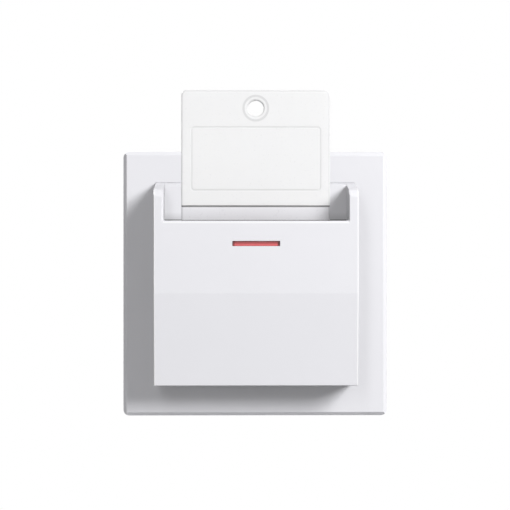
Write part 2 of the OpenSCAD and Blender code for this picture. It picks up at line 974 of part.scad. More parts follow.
module lamp_led() color(lamp_red) {
    tip = guide_reach - guide_t - slide_gap;
    rod(0, lens_z, led_flange_r, board_front, board_front + led_flange_h);
    translate([0, -board_front, lens_z])
        rotate([90, 0, 0])
            rotate_extrude()
                polygon(rounded([[0, 0], [led_r, 0], [led_r, tip - board_front], [0, tip - board_front]],
                                [0, 0, led_dome_r, 0]));
}

module lamp_resistor() color("tan") {
    z = board_foot + resistor_rise;
    translate([resistor_x, -board_front - resistor_r, z])
        rotate([0, 90, 0]) {
            cylinder(r = resistor_r, h = resistor_l, center = true);
            cylinder(r = resistor_lead_r, h = resistor_span, center = true);
        }
    for (end = [-1, 1])
        rod(resistor_x + end * (resistor_span / 2 - resistor_lead_r), z, resistor_lead_r,
            board_front, board_front + resistor_r);
}

module lamp_pins() color(brass) {
    for (x = [-pin_x, pin_x])
        rod(x, pin_z, pin_r, leg_t - cavity_depth, board_front + pin_stub);
}

// Carrier, housing and wall fixing

module latch_pocket() {
    translate([carrier_side / 2 - latch_lip - fit_gap, -strap_t - fit_gap - latch_lip_h - fit_gap,
               -latch_w / 2 - fit_gap])
        cube([latch_lip + fit_gap + past, latch_lip_h + 2 * fit_gap + past, latch_w + 2 * fit_gap]);
}

module snap_slot() {
    translate([(cover_w - ear_t - snap_t) / 2 - fit_gap, -carrier_reach - past, -snap_w / 2 - fit_gap])
        cube([snap_t + snap_barb + 2 * fit_gap, carrier_t + 2 * past, snap_w + 2 * fit_gap]);
}

module carrier_plate() color(body_grey) {
    notch_from = fix_spacing / 2 - slot_len / 2 - screw_notch_margin;
    difference() {
        union() {
            slab(strap_t, carrier_reach) polygon(rounded_box(carrier_side, carrier_side, carrier_corner_r));
            for (x = [-post_x, post_x])
                rod(x, post_z, post_r, carrier_reach - past, board_back);
        }
        slab(strap_t - past, carrier_reach + past) {
            for (turn = [0 : 90 : 270])
                rotate(turn)
                    translate([notch_from, -screw_notch_w / 2])
                        square([carrier_side, screw_notch_w]);
            for (turn = [0, 180])
                rotate(turn)
                    translate([claw_screw_x, claw_z])
                        circle(claw_head_r + slide_gap);
            translate([0, slide_travel / 2])
                square([finger_w, finger_neck + slide_travel] + [slide_gap, slide_gap] * 2, center = true);
            for (x = [-pin_x, pin_x])
                translate([x, pin_z])
                    circle(pin_r + run_gap);
        }
        screw_places() rod(0, 0, screw_r + fit_gap, strap_t - past, carrier_reach + past);
        mirrored_pair() {
            for (z = [-latch_z, latch_z])
                translate([0, 0, z])
                    latch_pocket();
            for (z = [-snap_z, snap_z])
                translate([0, 0, z])
                    snap_slot();
        }
    }
}

// Section of the housing with its rear edges rounded
function back_rounded(w) = rounded(
    [[-w / 2, -strap_t], [-w / 2, housing_depth], [w / 2, housing_depth], [w / 2, -strap_t]],
    [0, housing_edge_r, housing_edge_r, 0]
);

// Walls that keep neighbouring terminals apart
module terminal_ribs() {
    for (side = [-1, 1])
        translate([side * terminal_pitch / 2, cavity_depth - terminal_d, cavity_floor - run_gap])
            translate([-terminal_rib_t / 2, 0, 0])
                cube([terminal_rib_t, terminal_d + run_gap, terminal_h - fit_gap]);
}

module rear_housing() color(body_grey) {
    difference() {
        union() {
            difference() {
                union() {
                    intersection() {
                        slab(-housing_depth, strap_t)
                            polygon(rounded_box(housing_w, housing_h, housing_corner_r));
                        upright(housing_h) polygon(back_rounded(housing_w));
                        across(housing_w) polygon(back_rounded(housing_h));
                    }
                    slab(-flange_t, 0)
                        polygon(rounded_box(flange_w, housing_h + 2 * flange_reach, flange_corner_r));
                }
                slab(-cavity_depth, strap_t + past)
                    square([housing_w - 2 * housing_wall, housing_h - 2 * housing_wall], center = true);
            }
            screw_places() housing_boss();
            terminal_ribs();
        }
        screw_places() rod(0, 0, screw_r + run_gap, -boss_depth, strap_t + past);
        terminal_places() {
            rod(0, wire_z, wire_d / 2, -housing_depth - past, past - cavity_depth);
            translate([0, housing_depth + run_gap, wire_z])
                rotate([90, 0, 0])
                    cylinder(r1 = wire_d / 2 + wire_funnel, r2 = wire_d / 2, h = wire_funnel + run_gap);
            translate([0, terminal_screw_y, -housing_h / 2 - past])
                cylinder(r = terminal_head_r + fit_gap, h = housing_wall + 2 * past);
        }
    }
}

module housing_boss() {
    rod(0, 0, boss_r, -boss_depth - housing_wall, strap_t);
}

module assembly_screws() color(steel) {
    screw_places()
        difference() {
            union() {
                rod(0, 0, screw_r, screw_spare - boss_depth, screw_seat);
                rod(0, 0, screw_head_r, screw_seat, screw_seat + screw_head_h);
            }
            for (turn = [0, 90])
                rotate([0, turn, 0])
                    translate([-screw_drive_w / 2, -screw_seat - screw_head_h - past, -screw_drive_t / 2])
                        cube([screw_drive_w, screw_drive_h + past, screw_drive_t]);
        }
}

// Two lugs bent back from the strap on either side of a claw
module claw_lugs() {
    for (side = [-1, 1])
        translate([0, 0, claw_z + side * (claw_w / 2 + slide_gap + lug_t / 2)])
            upright(lug_t)
                polygon(rounded(
                    [
                        [claw_x - lug_w / 2, -strap_t / 2],
                        [claw_x + lug_w / 2, -strap_t / 2],
                        [claw_x + lug_w / 2, claw_y + lug_w / 2],
                        [claw_x - lug_w / 2, claw_y + lug_w / 2]
                    ],
                    [0, 0, lug_round_r, lug_round_r]
                ));
}

module claw_axis(r, length) {
    translate([claw_x, claw_y, claw_z])
        cylinder(r = r, h = length, center = true);
}

module mounting_strap() color(steel) {
    difference() {
        union() {
            slab(0, strap_t)
                difference() {
                    polygon(rounded_box(strap_side, strap_side, strap_corner_r));
                    square([housing_w, housing_h] + [fit_gap, fit_gap] * 2, center = true);
                    for (turn = [0 : 90 : 270])
                        rotate(turn)
                            translate([fix_spacing / 2, 0])
                                slot_outline(slot_len, slot_w);
                    for (turn = [0, 180])
                        rotate(turn)
                            translate([claw_screw_x, claw_z])
                                circle(claw_screw_r + fit_gap);
                }
            half_turn_pair() claw_lugs();
        }
        half_turn_pair() claw_axis(claw_pin_r + run_gap / 2, claw_w + 4 * lug_t);
    }
}

// Forked claw: a knuckle on the pin, an eared nut plate and two toothed prongs
function prong_profile() = rounded(
    [
        [claw_x + knuckle_r - claw_t, claw_y],
        [claw_x + knuckle_r, claw_y],
        [claw_x + knuckle_r, claw_len - claw_tooth_l],
        [claw_x + knuckle_r + claw_tooth, claw_len - claw_t / 2],
        [claw_x + knuckle_r + claw_tooth - claw_t / 2, claw_len],
        [claw_x + knuckle_r - claw_t, claw_len - claw_heel]
    ],
    [0, 0, claw_bend_r, 0, 0, claw_bend_r]
);

module claw() {
    ear_near = -claw_y - claw_ear_from;
    prong_slot = claw_y + knuckle_r + claw_slot_from;
    translate([0, 0, claw_z])
        difference() {
            union() {
                upright(claw_w) polygon(prong_profile());
                translate([claw_x, claw_y, 0])
                    cylinder(r = knuckle_r, h = claw_w, center = true);
                rod(claw_screw_x, 0, claw_ear_r, ear_near - claw_t, ear_near);
            }
            translate([claw_x, claw_y, 0])
                cylinder(r = claw_pin_r + run_gap, h = claw_w + past, center = true);
            rod(claw_screw_x, 0, claw_hole_r, ear_near - claw_t - past, ear_near + past);
            translate([claw_x, prong_slot, -claw_slot_w / 2])
                cube([claw_len, claw_len, claw_slot_w]);
        }
}

module claw_right() color(steel) {
    claw();
}

module claw_left() color(steel) {
    rotate([0, 180, 0])
        claw();
}

module claw_pins() color(steel) {
    half_turn_pair() claw_axis(claw_pin_r, claw_w + 2 * (slide_gap + lug_t + claw_pin_stub));
}

module claw_screws() color(steel) {
    half_turn_pair()
        difference() {
            union() {
                rod(claw_screw_x, claw_z, claw_screw_r, -claw_screw_l, strap_t);
                rod(claw_screw_x, claw_z, claw_head_r, strap_t, strap_t + claw_head_h);
            }
            translate([claw_screw_x - claw_head_r, -strap_t - claw_head_h - past, claw_z - claw_drive_t / 2])
                cube([2 * claw_head_r, claw_drive_h + past, claw_drive_t]);
        }
}

frame_plate();
front_cover();
card_guide();
indicator_lens();
key_tag();
card_slider();
return_spring();
card_clamp();
rocker_lever();
rocker_pin();
common_bracket();
moving_contact();
contact_on();
contact_off();
terminal_blocks();
terminal_screws();
lamp_board();
lamp_led();
lamp_resistor();
lamp_pins();
carrier_plate();
rear_housing();
assembly_screws();
mounting_strap();
claw_left();
claw_right();
claw_pins();
claw_screws();
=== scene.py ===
# %% [markdown]
# # A key card switch for a hotel room
# On the wall this switch is a square frame plate with a card holder clipped into it.
# A key tag stands in the holder, and a slide under the tag works a small changeover switch.
# The solids were drawn in a CAD program and are loaded here as a fixed frame.
# The lesson dresses them. It rounds edges, builds the screws and the coil spring, and mixes the finishes.

# %% Load the solids
import json
import math
from functools import partial

import bmesh
import bpy
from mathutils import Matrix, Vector

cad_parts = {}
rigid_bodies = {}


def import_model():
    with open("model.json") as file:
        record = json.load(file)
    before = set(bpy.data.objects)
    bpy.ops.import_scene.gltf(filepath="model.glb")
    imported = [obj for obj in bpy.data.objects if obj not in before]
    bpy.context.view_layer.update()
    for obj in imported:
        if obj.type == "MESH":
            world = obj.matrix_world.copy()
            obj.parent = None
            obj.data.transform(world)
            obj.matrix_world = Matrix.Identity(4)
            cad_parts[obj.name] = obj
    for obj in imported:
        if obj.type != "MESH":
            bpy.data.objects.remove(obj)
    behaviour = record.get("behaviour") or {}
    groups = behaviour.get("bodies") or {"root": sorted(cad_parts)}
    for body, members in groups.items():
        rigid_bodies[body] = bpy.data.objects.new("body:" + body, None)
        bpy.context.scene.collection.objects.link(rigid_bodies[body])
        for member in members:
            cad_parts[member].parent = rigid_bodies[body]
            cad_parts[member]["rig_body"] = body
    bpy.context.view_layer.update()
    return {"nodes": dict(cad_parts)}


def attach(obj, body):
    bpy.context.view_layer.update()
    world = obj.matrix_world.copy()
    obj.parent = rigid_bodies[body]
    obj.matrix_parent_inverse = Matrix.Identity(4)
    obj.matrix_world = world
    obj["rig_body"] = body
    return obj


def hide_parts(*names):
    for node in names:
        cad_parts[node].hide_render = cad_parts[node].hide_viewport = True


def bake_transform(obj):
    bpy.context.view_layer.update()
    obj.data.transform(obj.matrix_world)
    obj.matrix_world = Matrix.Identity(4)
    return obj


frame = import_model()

MM = 0.001
nodes = frame["nodes"]

# %% [markdown]
# ## The camera
# The photograph was taken from straight in front, a little above the middle of the plate.
# What stands out from the plate looks slightly larger than it is, and that small difference
# tells how far away the lens was: close to half a metre.
# A camera could also be aimed by hand, but a place and a lens worked out from sizes stay put.

# %% Camera in front of the plate
CAMERA_AWAY = 480 * MM
CAMERA_RISE = 8.8 * MM
CAMERA_ASIDE = -7.9 * MM
CAMERA_TURN = -0.948
LENS_MM = 108.4
NEAREST_SEEN = 0.01

camera_data = bpy.data.cameras.new("photo_camera")
camera_data.lens = LENS_MM
camera_data.clip_start = NEAREST_SEEN
camera = bpy.data.objects.new("photo_camera", camera_data)
camera.location = (CAMERA_ASIDE, -CAMERA_AWAY, CAMERA_RISE)
camera.rotation_euler = (math.radians(90), 0, math.radians(CAMERA_TURN))
scene = bpy.context.scene
scene.collection.objects.link(camera)
scene.camera = camera
scene.view_settings.view_transform = "Standard"
print("camera", round(CAMERA_AWAY / MM), "mm in front, lens", LENS_MM, "mm")

# %% [markdown]
# ## Light like the photograph's
# The shadows fall to the left and downwards with a soft border, so the main lamp is to the right and above.
# A weaker lamp on the left, tall and narrow, draws the pale wedge in the left recess.
# A third one stands behind and lights the back of the switch, which the photograph doesn't show.
# A sun or a spot could be made soft too, but an area lamp has a width and a height, like a window in a room.

# %% Lamps
LAMP_AWAY = 1.2


def soft_lamp(name, direction, watts, width, height):
    """Area lamp that looks at the middle of the switch."""
    data = bpy.data.lights.new(name, "AREA")
    data.energy = watts
    data.shape = "RECTANGLE"
    data.size = width
    data.size_y = height
    lamp = bpy.data.objects.new(name, data)
    towards = Vector(direction).normalized()
    lamp.location = towards * LAMP_AWAY
    lamp.rotation_euler = towards.to_track_quat("Z", "Y").to_euler()
    scene.collection.objects.link(lamp)
    return lamp


key_lamp = soft_lamp("key_lamp", (0.95, -1.0, 0.655), watts=14.3, width=0.48, height=0.48)
fill_lamp = soft_lamp("fill_lamp", (-0.3, -1.0, 0.45), watts=2.05, width=0.2, height=0.9)
back_lamp = soft_lamp("back_lamp", (-0.4, 1.0, 0.5), watts=4.5, width=0.8, height=0.8)
print("lamps:", key_lamp.name, fill_lamp.name, back_lamp.name)

# %% [markdown]
# World, finishes and screws are all made of nodes. In Blender a node is added, set and linked in three steps.
# That can be done by hand in the node editor, but written out it can be read, changed and run again.
# The helpers here do the three steps in one line, and tools hands them out ready for one tree.


# %% Helpers for node trees
def fill(tree, socket, value):
    """Sets an input to a value, or links it where the value is another node's output."""
    if isinstance(value, bpy.types.NodeSocket):
        tree.links.new(value, socket)
    else:
        socket.default_value = value


def add(tree, kind, settings=None, **sockets):
    """Adds a node. Settings are its own properties, sockets its inputs, as values or as links."""
    made = tree.nodes.new(kind)
    for name, value in (settings or {}).items():
        setattr(made, name, value)
    for name, value in sockets.items():
        fill(tree, made.inputs[name.replace("_", " ")], value)
    return made


def calculate(tree, operation, *values):
    """Result of a math node on its values or links."""
    made = add(tree, "ShaderNodeMath", {"operation": operation})
    for socket, value in zip(made.inputs, values):
        fill(tree, socket, value)
    return made.outputs[0]


def vectors(tree, operation, *values, **sockets):
    """Outputs of a vector math node on its vectors or links."""
    made = add(tree, "ShaderNodeVectorMath", {"operation": operation}, **sockets)
    for socket, value in zip(made.inputs, values):
        fill(tree, socket, value)
    return made.outputs


def tools(tree):
    """Adding, calculating and linking, ready for one tree."""
    return partial(add, tree), partial(calculate, tree), tree.links.new


print("node helpers ready")

# %% [markdown]
# The world gives the rest of the light, a little more from above and from the left than from below
# and the right, as a room with a bright ceiling does.
# A picture of a room could give that too, but a plain change of grey needs no file and is easy to set.
# The world is pure white only where the camera or a reflection looks at it,
# so the background is white without any more light on the object.
# A pale floor far below takes the place of the room's floor.

# %% World and floor
AMBIENT = 0.15
BRIGHTER_SIDE = (-0.5, 0, 0.8)
PURE_WHITE = (1, 1, 1, 1)
PALE_FLOOR = (0.82, 0.82, 0.83, 1)
FLOOR_ROUGHNESS = 0.8
FLOOR_Z = -0.9
FLOOR_CORNERS = [(-0.9, -1.0, FLOOR_Z), (0.9, -1.0, FLOOR_Z), (0.9, 0.6, FLOOR_Z), (-0.9, 0.6, FLOOR_Z)]

world = bpy.data.worlds.new("white_studio")
world.use_nodes = True
node, calc, link = tools(world.node_tree)
sky = node("ShaderNodeTexCoord").outputs["Generated"]
grade = vectors(world.node_tree, "DOT_PRODUCT", sky, BRIGHTER_SIDE)["Value"]
room = calc("MULTIPLY_ADD", grade, AMBIENT, AMBIENT)
ray = node("ShaderNodeLightPath").outputs
looks = calc("MAXIMUM", ray["Is Camera Ray"], ray["Is Glossy Ray"])
looks = calc("MAXIMUM", looks, ray["Is Transmission Ray"])
strength = node("ShaderNodeMapRange", Value=looks, To_Min=room, To_Max=1.0)
backdrop = world.node_tree.nodes["Background"].inputs
backdrop["Color"].default_value = PURE_WHITE
link(strength.outputs["Result"], backdrop["Strength"])
scene.world = world

floor_mesh = bpy.data.meshes.new("studio_floor")
floor_mesh.from_pydata(FLOOR_CORNERS, [], [(0, 1, 2, 3)])
floor = bpy.data.objects.new("studio_floor", floor_mesh)
scene.collection.objects.link(floor)
floor_paint = bpy.data.materials.new("floor_paint")
floor_paint.use_nodes = True
floor_look = floor_paint.node_tree.nodes["Principled BSDF"].inputs
floor_look["Base Color"].default_value = PALE_FLOOR
floor_look["Roughness"].default_value = FLOOR_ROUGHNESS
floor_mesh.materials.append(floor_paint)
print("floor at", FLOOR_Z, "m")

# %% [markdown]
# ## Moulded plastic
# Pressed out of a polished or lightly spark-eroded mould, the white parts are never a flat colour.
# They show a very fine grain, a slow change of shade where the melt flowed, and a gloss that varies a little.
# An image could hold all that, but it would need an unwrapped mesh.
# Noise in the object's own coordinates fits every piece as it is.
# All the plastic parts share it, so it is one shader group with named inputs,
# and each material sets its own grain and depth.


# %% Group: moulded skin
def shader_group(name, inputs, outputs):
    """Empty shader group with float inputs {name: default} and a list of float outputs, and its sockets."""
    group = bpy.data.node_groups.new(name, "ShaderNodeTree")
    for socket, default in inputs.items():
        made = group.interface.new_socket(socket, in_out="INPUT", socket_type="NodeSocketFloat")
        made.default_value = default
    for socket in outputs:
        group.interface.new_socket(socket, in_out="OUTPUT", socket_type="NodeSocketFloat")
    taken = group.nodes.new("NodeGroupInput")
    given = group.nodes.new("NodeGroupOutput")
    return group, taken.outputs, given.inputs


MIDDLE = 0.5
moulded_skin, taken, given = shader_group(
    "moulded_skin",
    {"Grain": 2600.0, "Flow": 45.0, "Shade Spread": 0.03, "Gloss": 0.35, "Gloss Spread": 0.1},
    ["Shade", "Roughness", "Height"],
)
node, calc, link = tools(moulded_skin)
place = node("ShaderNodeTexCoord").outputs["Object"]
fine = node("ShaderNodeTexNoise", Vector=place, Scale=taken["Grain"], Detail=3.0).outputs["Fac"]
slow = node("ShaderNodeTexNoise", Vector=place, Scale=taken["Flow"], Detail=2.0).outputs["Fac"]
darker = calc("MULTIPLY", calc("SUBTRACT", slow, MIDDLE), taken["Shade Spread"])
duller = calc("MULTIPLY", calc("SUBTRACT", fine, MIDDLE), taken["Gloss Spread"])
link(calc("ADD", darker, 1.0), given["Shade"])
link(calc("ADD", duller, taken["Gloss"]), given["Roughness"])
link(fine, given["Height"])
print("group", moulded_skin.name, "with", len(moulded_skin.nodes), "nodes")

# %% [markdown]
# The white of frame and holder is slightly blue, the tag is whiter and smoother,
# and the box behind is a dull grey. A little light also enters the tag's plastic, which softens its shading.
# Apart from that they differ in numbers alone, so one function mixes them all.


# %% Plastic finishes
def plastic(name, colour, bump, **skin):
    """Moulded plastic with the shared skin. Bump is the grain's depth in metres."""
    material = bpy.data.materials.new(name)
    material.use_nodes = True
    node, calc, link = tools(material.node_tree)
    look = material.node_tree.nodes["Principled BSDF"].inputs
    cover = node("ShaderNodeGroup", {"node_tree": moulded_skin}, **skin).outputs
    grain = node("ShaderNodeBump", Height=cover["Height"], Strength=1.0, Distance=bump)
    link(vectors(material.node_tree, "SCALE", colour, Scale=cover["Shade"])["Vector"], look["Base Color"])
    link(cover["Roughness"], look["Roughness"])
    link(grain.outputs["Normal"], look["Normal"])
    return material


satin_white = plastic("satin_white", (0.855, 0.853, 0.888), bump=6e-7, Grain=2600.0, Gloss=0.34)
tag_white = plastic("tag_white", (0.915, 0.915, 0.92), bump=2e-7, Grain=1500.0, Gloss=0.28, Gloss_Spread=0.04)
filled_grey = plastic("filled_grey", (0.62, 0.62, 0.605), bump=4e-6, Grain=1800.0, Gloss=0.5,
                      Shade_Spread=0.06)
SEEN_INTO = 1.2 * MM
SCATTERED = 0.6
tag_look = tag_white.node_tree.nodes["Principled BSDF"].inputs
tag_look["Subsurface Weight"].default_value = SCATTERED
tag_look["Subsurface Radius"].default_value = (1, 1, 1)
tag_look["Subsurface Scale"].default_value = SEEN_INTO
print("finishes:", satin_white.name, tag_white.name, filled_grey.name)

# %% [markdown]
# ## Edges that catch the light
# On a moulding no edge is knife sharp, and a thin bright line runs along each edge that faces the lamp.
# The solids have their large rounds, but their small edges are sharp.
# A Bevel node in the material could fake that line, but the mesh would stay sharp, so it gets real rounds.
# Each piece is copied, its loose triangles are merged, flat areas are joined into single faces,
# and the hard edges left over get a small round bevel. The solid itself is never touched.
# Edges that hang together are bevelled as one group, and a group with little room gets a narrower round.
# A weighted normal modifier then lets the large faces rule the shading,
# so a flat wall stays flat to its bevel.


# %% Helpers for softened copies
def settled(piece):
    """Bakes a piece's modifiers into a plain mesh."""
    ready = piece.evaluated_get(bpy.context.evaluated_depsgraph_get())
    rough = piece.data
    piece.data = bpy.data.meshes.new_from_object(ready)
    piece.modifiers.clear()
    bpy.data.meshes.remove(rough)
    piece.data.name = piece.name


def joined_edges(edges):
    """Groups of edges that hang together by their ends."""
    groups = []
    for edge in edges:
        edge.tag = True
    for first in edges:
        if not first.tag:
            continue
        first.tag = False
        group = [first]
        for edge in group:
            for near in [other for end in edge.verts for other in end.link_edges if other.tag]:
                near.tag = False
                group.append(near)
        groups.append(group)
    return groups


MERGE = 1e-7


def cleaned(work):
    """Merges points that fall together and takes out faces without area."""
    bmesh.ops.remove_doubles(work, verts=work.verts, dist=MERGE)
    bmesh.ops.dissolve_degenerate(work, dist=MERGE, edges=work.edges)


print("mesh helpers ready")

# %% [markdown]
# The frame plate covers the edge of the box in the wall, and the holder is clipped into it.
# They come first, because they fill most of the picture. One function rounds them and all the later solids.
# The front of the holder has a slight fold, too flat to count as a hard edge.
# So its height is given, and the edges there stay a crease.

# %% Frame and holder
FLAT = math.radians(0.5)
HARD = math.radians(32)
ON_FOLD = 0.05
ROUND_STEPS = 3


def softened(node, name, round_mm, material, fold=None):
    """Copy of a solid with its hard edges rounded, which rides on the same body and replaces it.

    Edges at the height fold, in millimetres, stay creases.
    """
    mesh = nodes[node].data.copy()
    mesh.name = name
    work = bmesh.new()
    work.from_mesh(mesh)
    bmesh.ops.remove_doubles(work, verts=work.verts, dist=MERGE)
    bmesh.ops.dissolve_limit(work, angle_limit=FLAT, verts=work.verts, edges=work.edges)
    hard = [e for e in work.edges if len(e.link_faces) == 2 and e.calc_face_angle() > HARD]
    for group in joined_edges(hard):
        bmesh.ops.bevel(work, geom=group, offset=round_mm * MM, segments=ROUND_STEPS, profile=0.5,
                        affect="EDGES", clamp_overlap=True)
    cleaned(work)
    for face in work.faces:
        face.smooth = True
    for edge in work.edges:
        folded = fold is not None and all(abs(end.co.z / MM - fold) < ON_FOLD for end in edge.verts)
        edge.smooth = edge.calc_face_angle(0.0) < HARD and not folded
    work.to_mesh(mesh)
    work.free()
    mesh.materials.clear()
    mesh.materials.append(material)
    piece = bpy.data.objects.new(name, mesh)
    scene.collection.objects.link(piece)
    piece.modifiers.new("flat_faces_rule", "WEIGHTED_NORMAL").keep_sharp = True
    settled(piece)
    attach(piece, nodes[node]["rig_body"])
    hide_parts(node)
    return piece


FOLD_Z = -2.6
frame_shell = softened("frame_plate", "frame_shell", round_mm=0.02, material=satin_white)
card_holder = softened("front_cover", "card_holder", round_mm=0.12, material=satin_white, fold=FOLD_Z)
for piece in (frame_shell, card_holder):
    print(piece.name, "faces:", len(piece.data.polygons))

# %% [markdown]
# ## Painted shade lines on the key tag
# The tag is one moulding: a thick handle with an eyelet and a groove round the place of a label,
# and a thin blade.
# In the photograph fine grey lines follow its outline, its groove and its eyelet.
# They are finer than the mesh could show, so the material paints them as shade.
# All are lines at an even distance from a rounded rectangle, and a circle is one whose corners meet.
# So one shader group measures that distance and gives a mask for each of them.
# Groove and ring are on the front alone, and a limit in depth keeps their lines off the back.

# %% Group: outline mask
outline_mask, taken, given = shader_group(
    "outline_mask",
    {"Middle X": 0.0, "Middle Z": 0.0, "Half Width": 0.01, "Half Height": 0.01,
     "Corner": 0.001, "Line": 0.0003, "Back Limit": 0.0},
    ["Mask"],
)
node, calc, link = tools(outline_mask)
place = node("ShaderNodeTexCoord").outputs["Object"]
split = node("ShaderNodeSeparateXYZ", Vector=place).outputs
past = {}
for axis, half in (("X", "Half Width"), ("Z", "Half Height")):
    offset = calc("ABSOLUTE", calc("SUBTRACT", split[axis], taken["Middle " + axis]))
    straight = calc("SUBTRACT", taken[half], taken["Corner"])
    past[axis] = calc("SUBTRACT", offset, straight)
beyond = {axis: calc("MAXIMUM", way, 0.0) for axis, way in past.items()}
corner_arc = vectors(outline_mask, "LENGTH", node("ShaderNodeCombineXYZ", **beyond).outputs[0])["Value"]
within = calc("MINIMUM", calc("MAXIMUM", past["X"], past["Z"]), 0.0)
from_corner = calc("ADD", corner_arc, within)
from_line = calc("ABSOLUTE", calc("SUBTRACT", from_corner, taken["Corner"]))
on_line = node("ShaderNodeMapRange", {"interpolation_type": "SMOOTHSTEP"}, Value=from_line,
               From_Min=taken["Line"], From_Max=calc("MULTIPLY", taken["Line"], 0.5))
in_front = calc("LESS_THAN", split["Y"], taken["Back Limit"])
link(calc("MULTIPLY", on_line.outputs["Result"], in_front), given["Mask"])
print("group", outline_mask.name, "with", len(outline_mask.nodes), "nodes")

# %% [markdown]
# The photograph also shows a blade that is greyer than the handle, a dark line in the corner between the two,
# and a dark line with a soft shade where blade and back wall go down behind the holder's rim.
# All of these are painted shade and run level, so a second group turns two heights into a band with soft
# borders.

# %% Group: level band
level_band, taken, given = shader_group("level_band", {"Low": 0.0, "High": 0.001, "Fade": 0.0001}, ["Mask"])
node, calc, link = tools(level_band)
place = node("ShaderNodeTexCoord").outputs["Object"]
height = node("ShaderNodeSeparateXYZ", Vector=place).outputs["Z"]
full_low = calc("ADD", taken["Low"], taken["Fade"])
full_high = calc("SUBTRACT", taken["High"], taken["Fade"])
rise = node("ShaderNodeMapRange", Value=height, From_Min=taken["Low"], From_Max=full_low).outputs["Result"]
fall = node("ShaderNodeMapRange", Value=height, From_Min=taken["High"], From_Max=full_high).outputs["Result"]
link(calc("MULTIPLY", rise, fall), given["Mask"])
print("group", level_band.name, "with", len(level_band.nodes), "nodes")

# %% [markdown]
# Three helpers place these groups in a material. The first gives a mask,
# the second mixes another colour in where a mask is 1,
# and the third darkens the colour by a list of marks of painted shade, each with the share of light that it
# takes.
# The marks could be painted on an image as well, but heights and radii are exact and easy to change.


# %% Helpers for marks
def mask_of(tree, group, **sizes):
    """Mask of a group that is placed in a tree, with its sizes in millimetres."""
    in_metres = {socket: size * MM for socket, size in sizes.items()}
    return add(tree, "ShaderNodeGroup", {"node_tree": group}, **in_metres).outputs["Mask"]


def recolour(material, mask, colour):
    """Mixes a colour into a material's own where a mask is 1."""
    tree = material.node_tree
    base = tree.nodes["Principled BSDF"].inputs["Base Color"]
    own = base.links[0].from_socket
    mixed = add(tree, "ShaderNodeMix", {"data_type": "RGBA"}, Factor=mask, A=own, B=colour)
    tree.links.new(mixed.outputs["Result"], base)


def paint_shade(material, marks):
    """Darkens a material by marks of painted shade {name: (group, share of light it takes, sizes in
    millimetres)}.
    """
    tree = material.node_tree
    base = tree.nodes["Principled BSDF"].inputs["Base Color"]
    unshaded = 1.0
    for group, share, sizes in marks.values():
        darkened = calculate(tree, "MULTIPLY", mask_of(tree, group, **sizes), share)
        unshaded = calculate(tree, "MULTIPLY", unshaded, calculate(tree, "SUBTRACT", 1.0, darkened))
    shaded_colour = vectors(tree, "SCALE", base.links[0].from_socket, Scale=unshaded)["Vector"]
    tree.links.new(shaded_colour, base)
    print(material.name, "marks:", ", ".join(marks))


print("mark helpers ready")

# %% [markdown]
# Only a strip of the blade shows, between the handle and the rim of the pocket.
# The tag gets its blade darkened and tinted first, a painted shade, and the painted shade marks on top of it.
# The line behind the rim is about as fine as a pixel of the photograph.
# The mesh and the lamps alone don't give it, so it is painted on the blade.

# %% Key tag
FRONT_ONLY = -16
BLADE = {"Low": -30, "High": 23.6, "Fade": 0.01}
BLADE_SHADE = (0.865, 0.86, 0.89, 1)
OUTLINE = {"Middle_Z": 14.3, "Half_Width": 22.45, "Half_Height": 44.3, "Corner": 1.7, "Line": 0.65}
GROOVE = {"Middle_Z": 37.8, "Half_Width": 19.4, "Half_Height": 9.45, "Corner": 0.85, "Line": 0.35,
          "Back_Limit": FRONT_ONLY}
RING = {"Middle_Z": 53.1, "Half_Width": 3.7, "Half_Height": 3.7, "Corner": 3.7, "Line": 0.45,
        "Back_Limit": FRONT_ONLY}
HOLE = {"Middle_Z": 53.1, "Half_Width": 2.4, "Half_Height": 2.4, "Corner": 2.4, "Line": 0.5}
# Painted shade: the blade below the handle gets a darker, bluer colour.
recolour(tag_white, mask_of(tag_white.node_tree, level_band, **BLADE), BLADE_SHADE)
# Painted shade: grey lines along outline, groove, ring and hole, the step's shadow, a dark line and soft
# shade above the rim.
paint_shade(tag_white, {
    "outline": (outline_mask, 0.12, OUTLINE),
    "groove": (outline_mask, 0.05, GROOVE),
    "ring": (outline_mask, 0.16, RING),
    "hole": (outline_mask, 0.14, HOLE),
    "step shadow": (level_band, 0.5, {"Low": 23.2, "High": 23.85, "Fade": 0.12}),
    "rim shade line": (level_band, 0.8, {"Low": 19.05, "High": 19.42, "Fade": 0.06}),
    "rim shade": (level_band, 0.17, {"Low": 16.5, "High": 23.0, "Fade": 3.0}),
})
tag_body = softened("key_tag", "tag_body", round_mm=0.25, material=tag_white)
print(tag_body.name, "faces:", len(tag_body.data.polygons))

# %% [markdown]
# ## The back wall of the pocket
# Behind the tag is the white back wall of the card pocket, and the same painted shade, a dark line and a soft
# shade, lies on it.
# The wall is farther from the lens than the blade, so its line is painted a little higher.
# It gets a copy of the white plastic, because the frame has that plastic without any marks.

# %% Pocket wall
pocket_white = satin_white.copy()
pocket_white.name = "pocket_white"
# Painted shade: a dark line just above the rim and a soft shade above it.
paint_shade(pocket_white, {
    "rim shade line": (level_band, 0.5, {"Low": 19.05, "High": 19.66, "Fade": 0.06}),
    "rim shade": (level_band, 0.26, {"Low": 17.2, "High": 21.8, "Fade": 2.2}),
})
pocket_back = softened("card_guide", "pocket_back", round_mm=0.03, material=pocket_white)
print(pocket_back.name, "faces:", len(pocket_back.data.polygons))
